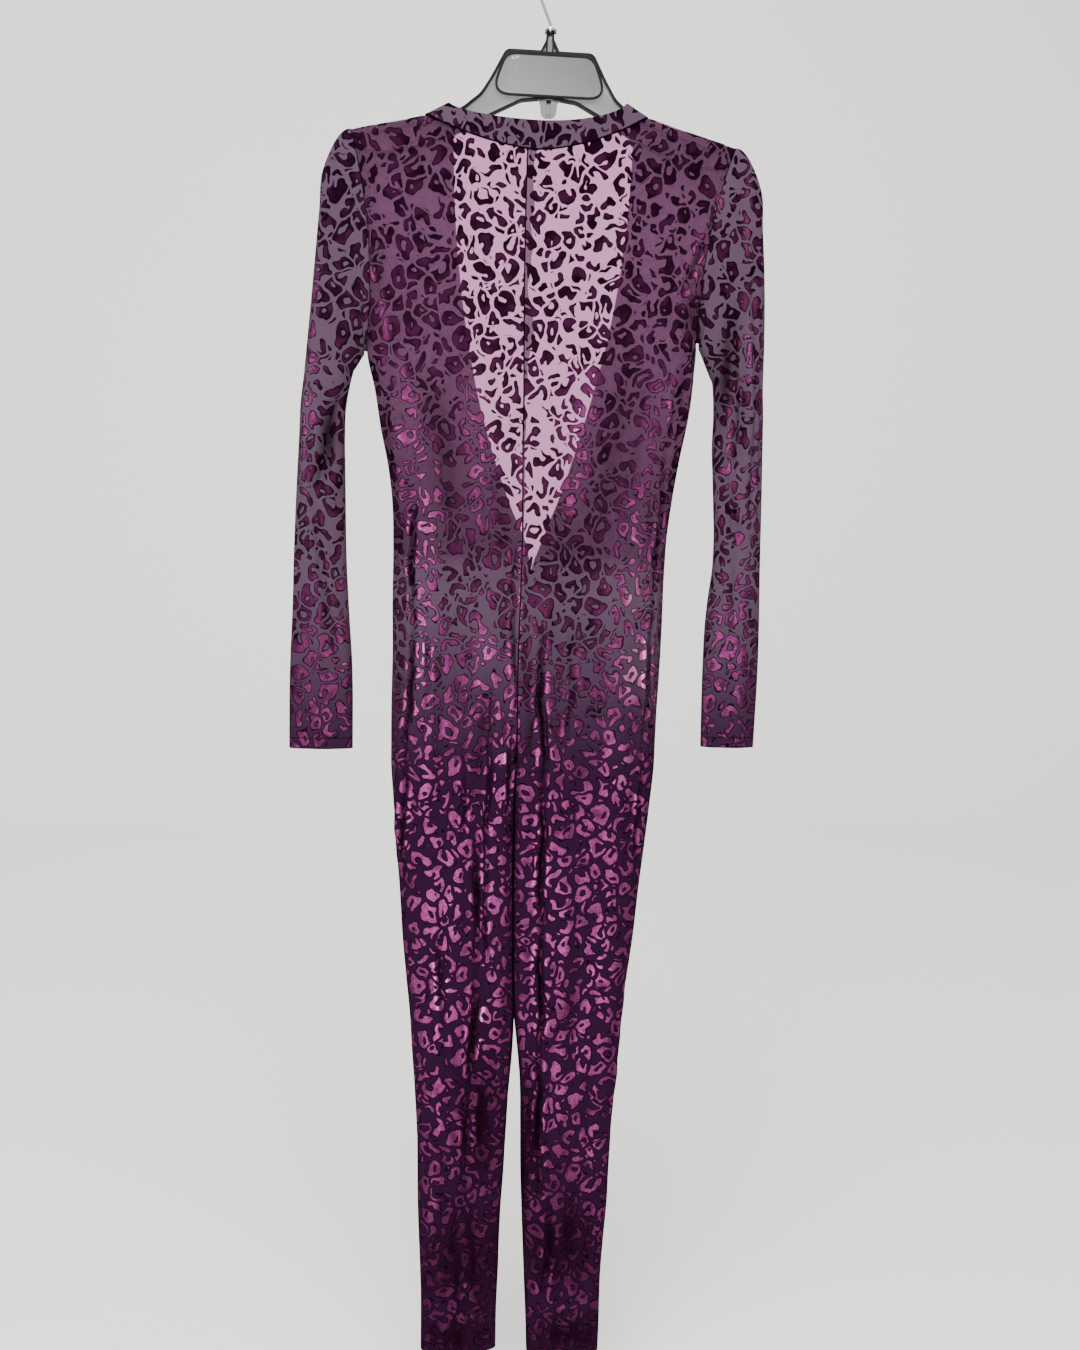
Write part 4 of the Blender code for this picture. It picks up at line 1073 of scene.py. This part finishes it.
# Hanger arms: moulded clear polystyrene, a thin web inside a flange that runs round the whole
# outline, painted near black for how dark it looks where it bends the light, with a ribbed stem that takes
# the hook.
# The right half's outline: across, height and radius of each corner
ARM_OUTLINE = (
    (0.0, -70.5, 0), (4.0, -70.5, 0.5), (4.2, -78.0, 3), (10.0, -89.5, 1), (47.0, -89.5, 9),
    (62.0, -117.0, 30), (73, -134.5, 30), (92, -150.0, 30), (111, -159.5, 30), (170, -176.5, 0),
    (212, -186.0, 5), (212, -201.0, 8), (170, -200, 0), (132, -192, 0), (93, -174.5, 30),
    (63, -157.5, 30), (30, -141, 20), (0, -137, 0),
)
FLANGE, WEB, ARM_DEPTH = 2.1, 2.0, 8.0
# The lower rim falls away from this height, past this far out, by this much a millimetre
LOWER_RIM_Z, LOWER_RIM_X, LOWER_RIM_FALL = -137, 30, 0.62
RIB_X, RIB_Z, RIB_SIZE = 3.3, -80, (1.3, 8.4, 18.6)
CORNER_STEPS = 6
HALF_SIDE = 0.48


def rounded(corners):
    """Outline points with every corner of (x, z, radius) rounded by an arc."""
    points = []
    spots = [Vector(corner[:2]) for corner in corners]
    for index, (x, z, radius) in enumerate(corners):
        here, before, after = spots[index], spots[index - 1], spots[(index + 1) % len(spots)]
        if radius == 0:
            points.append((x, z))
            continue
        back, on = before - here, after - here
        reach = min(radius / np.tan(back.angle(on) / 2), back.length * HALF_SIDE, on.length * HALF_SIDE)
        start, end = here + back.normalized() * reach, here + on.normalized() * reach
        for step in range(CORNER_STEPS + 1):
            t = step / CORNER_STEPS
            points.append(tuple(start * (1 - t) ** 2 + here * (2 * t * (1 - t)) + end * t**2))
    return points


def slab(name, outline, near, far, finishes):
    """A flat piece of an outline in x and z between two depths, standing in edit mode."""
    bpy.ops.object.select_all(action="DESELECT")
    bpy.ops.mesh.primitive_circle_add(vertices=len(outline), fill_type="NGON")
    piece = bpy.context.object
    piece.name = name
    for corner, (x, z) in zip(piece.data.vertices, outline):
        corner.co = (x * MM, near * MM, z * MM)
    for finish in finishes:
        piece.data.materials.append(finish)
    bpy.ops.object.mode_set(mode="EDIT")
    bpy.ops.mesh.select_all(action="SELECT")
    bpy.ops.mesh.extrude_region_move(TRANSFORM_OT_translate={"value": (0, (far - near) * MM, 0)})
    bpy.ops.mesh.select_all(action="SELECT")
    bpy.ops.mesh.normals_make_consistent(inside=False)
    return piece


def pick_faces(piece, wanted):
    """Select only the faces that a test of centre in millimetres and normal accepts."""
    bpy.ops.mesh.select_mode(type="FACE")
    bpy.ops.mesh.select_all(action="DESELECT")
    shape = bmesh.from_edit_mesh(piece.data)
    for face in shape.faces:
        if wanted(face.calc_center_median() / MM, face.normal):
            face.select_set(True)
    bmesh.update_edit_mesh(piece.data)


def uneven_gloss(name, colour, roughness, scale, detail, **settings):
    """A hard finish whose roughness varies between two values over marks of a scale, so many
    to the metre, with any other inputs of its shader."""
    made = bpy.data.materials.new(name)
    made.use_nodes = True
    tree = made.node_tree
    shader = tree.nodes["Principled BSDF"]
    place = node(tree, "TexCoord").node.outputs["Object"]
    wear = node(tree, "TexNoise", Vector=place, Scale=scale, Detail=detail)
    rough = node(tree, "MapRange", wear, 0.0, 1.0, *roughness)
    tree.links.new(rough, shader.inputs["Roughness"])
    shader.inputs["Base Color"].default_value = linear(colour)
    for socket, value in settings.items():
        shader.inputs[socket.replace("_", " ")].default_value = value
    return made


def plastic(name, colour, roughness, alpha=1.0, specular=0.5):
    """Polystyrene: glossy, a little see-through where it is clear, handled marks 7 mm apart."""
    return uneven_gloss(
        name, colour, (roughness * 0.7, roughness * 1.5), 140.0, 3.0,
        IOR=1.59, Specular_IOR_Level=specular, Alpha=alpha,
    )


def soften(piece, width, angle=40.0):
    """Leave edit mode and round the piece's sharp edges."""
    bpy.ops.object.mode_set(mode="OBJECT")
    rounding = piece.modifiers.new("softened edges", "BEVEL")
    rounding.width = width * MM
    rounding.segments = 2
    rounding.limit_method = "ANGLE"
    rounding.angle_limit = radians(angle)
    bpy.ops.object.modifier_apply(modifier=rounding.name)
    bpy.ops.object.shade_smooth_by_angle(angle=radians(35))


def mould_on(piece, middle, size, finish):
    """Add a small block to a piece as part of its moulding, by middle and size."""
    bpy.ops.object.select_all(action="DESELECT")
    bpy.ops.mesh.primitive_cube_add(size=1.0)
    block = bpy.context.object
    sized = Matrix.Diagonal((*[length * MM for length in size], 1))
    block.data.transform(Matrix.Translation([place * MM for place in middle]) @ sized)
    block.data.materials.append(finish)
    piece.select_set(True)
    bpy.context.view_layer.objects.active = piece
    bpy.ops.object.join()


def give_finish(piece, slot):
    """Give the faces selected in edit mode one of the piece's finishes."""
    piece.active_material_index = slot
    bpy.ops.object.material_slot_assign()


clear_styrene = plastic("clear_polystyrene", "#5a5c5f", 0.2, 0.6)
# Near black paints the dark look of clear edges that bend the light, and the plate's own black rim; grey
# paints how the clear rims catch the light
dark_edge = plastic("polystyrene_edge_turned_dark", "#060707", 0.6, specular=0.15)
grey_edge = plastic("polystyrene_edge_greyed", "#6d6f70", 0.18)
arm_half = rounded(ARM_OUTLINE)
arms = slab(
    "clear_hanger_arms", arm_half + [(-x, z) for x, z in reversed(arm_half) if x > 0.01],
    -ARM_DEPTH / 2, ARM_DEPTH / 2, [dark_edge, clear_styrene, grey_edge],
)
for facing in (-1, 1):
    pick_faces(arms, lambda centre, normal: normal.y * facing > 0.9)
    bpy.ops.mesh.inset(thickness=FLANGE * MM, use_even_offset=True)
    give_finish(arms, 1)
    bpy.ops.mesh.extrude_region_move(
        TRANSFORM_OT_translate={"value": (0, -facing * (ARM_DEPTH - WEB) / 2 * MM, 0)}
    )


def on_lower_rim(centre, normal):
    """Whether a face is on the rim under the arms, painted grey for the double line that the clear rim
    shows in the light.
    """
    rim_z = LOWER_RIM_Z - LOWER_RIM_FALL * (abs(centre.x) - LOWER_RIM_X)
    return abs(normal.z) + abs(normal.x) > 0.3 and centre.z < rim_z and abs(centre.y) > 0.2


pick_faces(arms, on_lower_rim)
give_finish(arms, 2)
soften(arms, 0.35)
# The stem's ribs are two strips up its sides, painted near black for how dark the clear ribs look where
# they bend the light
for side in (-1, 1):
    mould_on(arms, (side * RIB_X, 0, RIB_Z), RIB_SIZE, dark_edge)
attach(arms, "root")
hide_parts("hanger_body")

# Face plate: moulded grey polystyrene with a black rim, broader along its top, snapped on the
# side of the arms that the camera sees. It is bare, with a few scuffs near its top left corner.
PLATE_OUTLINE = ((-47.5, -91, 17), (47.5, -91, 17), (64, -137, 16), (-64, -137, 16))
PLATE_FACE = -4.3
PLATE_THICK = 1.6
PLATE_RECESS = 0.3
PLATE_RIM = 2.5
PLATE_TOP_RIM = 2.2
PLATE_FOOT_Z, PLATE_RIM_RISE = -137, 40
PLATE_LIT_LEFT, PLATE_SHADED_RIGHT = "#6c6e70", "#545658"
SCUFF_PLACE, SCUFF_REACH = (-0.036, -0.0059, -0.099), 0.009


def plate_grey(name):
    """Grey polystyrene, painted paler at the left where the light falls, with small scuffs round one place.
    """
    made = plastic(name, PLATE_LIT_LEFT, 0.5, specular=0.3)
    tree = made.node_tree
    place = node(tree, "TexCoord").node.outputs["Object"]
    across = node(tree, "MapRange", node(tree, "SeparateXYZ", place), -0.06, 0.06)
    # Painted light: paler at the left, darker at the right
    fade = node(tree, BLEND, across, linear(PLATE_LIT_LEFT), linear(PLATE_SHADED_RIGHT))
    scuff = node(tree, "TexNoise", Vector=place, Scale=260.0, Detail=4.0)
    near = node(tree, "VectorMath.DISTANCE", place, SCUFF_PLACE)
    mark = node(
        tree, "Math.MULTIPLY",
        node(tree, "MapRange", near, SCUFF_REACH, 0.002), node(tree, "MapRange", scuff, 0.55, 0.62),
    )
    tone = node(tree, BLEND, mark, fade, linear("#dcdedf"))
    tree.links.new(tone, tree.nodes["Principled BSDF"].inputs["Base Color"])
    return made


plate = slab(
    "grey_face_plate", rounded(PLATE_OUTLINE), PLATE_FACE - PLATE_THICK, PLATE_FACE,
    [dark_edge, plate_grey("grey_polystyrene")],
)
pick_faces(plate, lambda centre, normal: normal.y < -0.9)
bpy.ops.mesh.inset(thickness=PLATE_RIM * MM, use_even_offset=True)
give_finish(plate, 1)
bpy.ops.mesh.extrude_region_move(TRANSFORM_OT_translate={"value": (0, PLATE_RECESS * MM, 0)})
# The rim is broader along the top
shape = bmesh.from_edit_mesh(plate.data)
for corner in {corner for face in shape.faces if face.material_index == 1 for corner in face.verts}:
    rise = float(ease((corner.co.z / MM - PLATE_FOOT_Z) / PLATE_RIM_RISE))
    corner.co.z -= PLATE_TOP_RIM * MM * rise
bmesh.update_edit_mesh(plate.data)
soften(plate, 0.25)
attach(plate, "root")
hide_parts("hanger_plate")

# Lug: a clear polystyrene tongue moulded under the middle of the arms, with a raised rim round
# a narrow slot and a hole over it. Its edges and rims are painted grey for how the clear edges catch the
# light, and the hole is a near-black block of painted shade.
LUG_OUTLINE = (
    (-12.3, -137.2, 0), (12.3, -137.2, 0), (9.4, -142, 8), (7.6, -156.6, 7.0), (-7.6, -156.6, 7.0),
    (-9.4, -142, 8),
)
LUG_DEPTH = 3.8
LUG_RIM = 0.9
LUG_FINISHES = [grey_edge, clear_styrene, dark_edge]
# Middle across, middle height, width, height, proud of the face, finish
SLOT_RIMS = (
    (-2.5, -147.5, 0.7, 11.0, 0.05, 0), (2.5, -147.5, 0.7, 11.0, 0.05, 0),
    (0, -153.0, 5.6, 0.7, 0.05, 0), (0, -140.4, 5.0, 3.0, 0.06, 2),
)
lug = slab("clear_tongue_lug", rounded(LUG_OUTLINE), -LUG_DEPTH / 2, LUG_DEPTH / 2, LUG_FINISHES)
pick_faces(lug, lambda centre, normal: abs(normal.y) > 0.9)
bpy.ops.mesh.inset(thickness=LUG_RIM * MM, use_even_offset=True)
give_finish(lug, 1)
soften(lug, 0.3)
for x, z, wide, tall, proud, finish in SLOT_RIMS:
    mould_on(lug, (x, 0, z), (wide, LUG_DEPTH + 2 * proud, tall), LUG_FINISHES[finish])
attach(lug, "root")
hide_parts("hanger_lug")

# Hook: bright plated steel wire bent in a plain crook, its foot in a small rounded ferrule that
# caps the stem. The photograph cuts the crook off above the stem, so its top is a plain guess.
HOOK_WIRE, HOOK_RADIUS, HOOK_REACH, HOOK_END_ANGLE = 1.5, 18.0, 48.0, -28.0
HOOK_FOOT, HOOK_STRAIGHT = 0.3, 2.5
HOOK_STEPS = 60


def plated(name, colour, roughness):
    """Plated steel, bright, with faint drawn scratches."""
    return uneven_gloss(name, colour, (roughness * 0.8, roughness * 1.4), 400.0, 2.0, Metallic=1.0)


centre = HOOK_WIRE - HOOK_RADIUS
start_angle = 270.0 - degrees(acos(HOOK_RADIUS / HOOK_REACH))
path = [(0.0, centre - HOOK_REACH + rise) for rise in (HOOK_FOOT, HOOK_STRAIGHT)]
for step in range(HOOK_STEPS + 1):
    angle = radians(mix(start_angle, HOOK_END_ANGLE, step / HOOK_STEPS))
    path.append((HOOK_RADIUS * cos(angle), centre + HOOK_RADIUS * sin(angle)))
curve = bpy.data.curves.new("wire_hook", "CURVE")
curve.dimensions = "3D"
curve.bevel_depth = HOOK_WIRE * MM
curve.bevel_resolution = 4
curve.use_fill_caps = True
spline = curve.splines.new("POLY")
spline.points.add(len(path) - 1)
for point, (x, z) in zip(spline.points, path):
    point.co = (x * MM, 0.0, z * MM, 1.0)
hook = bpy.data.objects.new("wire_hook", curve)
bpy.context.scene.collection.objects.link(hook)
bpy.ops.object.select_all(action="DESELECT")
hook.select_set(True)
bpy.context.view_layer.objects.active = hook
bpy.ops.object.convert(target="MESH")
hook = bpy.context.object
hook.data.materials.append(plated("plated_steel_wire", "#8b8c8c", 0.28))
bpy.ops.object.shade_smooth_by_angle(angle=radians(40))
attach(hook, "root")
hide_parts("hanger_hook")

# Ferrule: a small nickel-plated cap with well rounded edges, pressed on the top of the stem
# round the foot of the hook.
FERRULE_RADIUS, FERRULE_HEIGHT, FERRULE_Z = 3.5, 5.6, -67.4
bpy.ops.object.select_all(action="DESELECT")
bpy.ops.mesh.primitive_cylinder_add(vertices=32, radius=FERRULE_RADIUS * MM, depth=FERRULE_HEIGHT * MM)
ferrule = bpy.context.object
ferrule.name = "round_ferrule"
ferrule.data.transform(Matrix.Translation((0, 0, FERRULE_Z * MM)))
ferrule.data.materials.append(plated("nickel_plate", "#dedfdc", 0.3))
bpy.ops.object.mode_set(mode="EDIT")
soften(ferrule, 1.3)
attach(ferrule, "root")
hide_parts("hanger_ferrule")

# Floor and backdrop, not part of the unitard: a plain pale wall and floor, painted matt.
STAGE_SIZE = 12.0
WALL_PLACE, FLOOR_PLACE = (0, 2.6, -0.2), (0, 0, -1.70)
stage_paint = bpy.data.materials.new("matt_pale_paint")
stage_paint.use_nodes = True
paint = stage_paint.node_tree.nodes["Principled BSDF"]
paint.inputs["Base Color"].default_value = linear("#fefefb")
paint.inputs["Roughness"].default_value = 0.9
for name, place, tilt in (("stage_wall", WALL_PLACE, 90), ("stage_floor", FLOOR_PLACE, 0)):
    bpy.ops.object.select_all(action="DESELECT")
    bpy.ops.mesh.primitive_plane_add(size=1.0, location=(0, 0, 0))
    plane = bpy.context.object
    plane.name = name
    turned = Matrix.Rotation(radians(tilt), 4, "X") @ Matrix.Scale(STAGE_SIZE, 4)
    plane.data.transform(Matrix.Translation(place) @ turned)
    plane.data.materials.append(stage_paint)

# Camera at the photograph's viewing angle: at chest height and a little left of the middle,
# turned right by the yaw, down by the pitch and rolled a little.
CAMERA_DISTANCE, CAMERA_ASIDE, CAMERA_Z = 1.32, 0.007, -0.5655
YAW, PITCH, ROLL = radians(5.0), radians(8.6), radians(1.5)
LENS = 30.67
ahead = Vector((sin(YAW) * cos(PITCH), cos(YAW) * cos(PITCH), -sin(PITCH)))
level = Vector((cos(YAW), -sin(YAW), 0.0))
rise = level.cross(ahead)
right = level * cos(ROLL) + rise * sin(ROLL)
up = rise * cos(ROLL) - level * sin(ROLL)
view = bpy.data.cameras.new("view")
view.lens = LENS
view.sensor_width = 36.0
view.sensor_fit = "AUTO"
eye = bpy.data.objects.new("view", view)
turned = Matrix((right, up, -ahead)).transposed().to_4x4()
stand = Vector((CAMERA_ASIDE - CAMERA_DISTANCE * sin(YAW), -CAMERA_DISTANCE * cos(YAW), CAMERA_Z))
eye.matrix_world = Matrix.Translation(stand) @ turned
bpy.context.scene.collection.objects.link(eye)
bpy.context.scene.camera = eye

# Soft studio light: a wide softbox overhead in front, a large one as fill a little to the left,
# and pale air all round.


def softbox(name, place, aim, width, height, power):
    """A rectangular area light at a place, turned to what it lights."""
    lamp = bpy.data.lights.new(name, "AREA")
    lamp.shape = "RECTANGLE"
    lamp.size, lamp.size_y = width, height
    lamp.energy = power
    holder = bpy.data.objects.new(name, lamp)
    holder.location = place
    holder.rotation_euler = (Vector(aim) - Vector(place)).to_track_quat("-Z", "Y").to_euler()
    bpy.context.scene.collection.objects.link(holder)


softbox("overhead_softbox", (-0.3, -1.1, 1.5), (0.0, 0.0, -0.9), 2.2, 1.4, 92.0)
softbox("left_fill", (-1.0, -2.5, 0.2), (0.3, 0.0, -0.7), 1.6, 2.2, 50.0)
world = bpy.data.worlds.new("pale_room")
world.use_nodes = True
world.node_tree.nodes["Background"].inputs["Color"].default_value = linear("#f2f1ee")
world.node_tree.nodes["Background"].inputs["Strength"].default_value = 1.2
bpy.context.scene.world = world
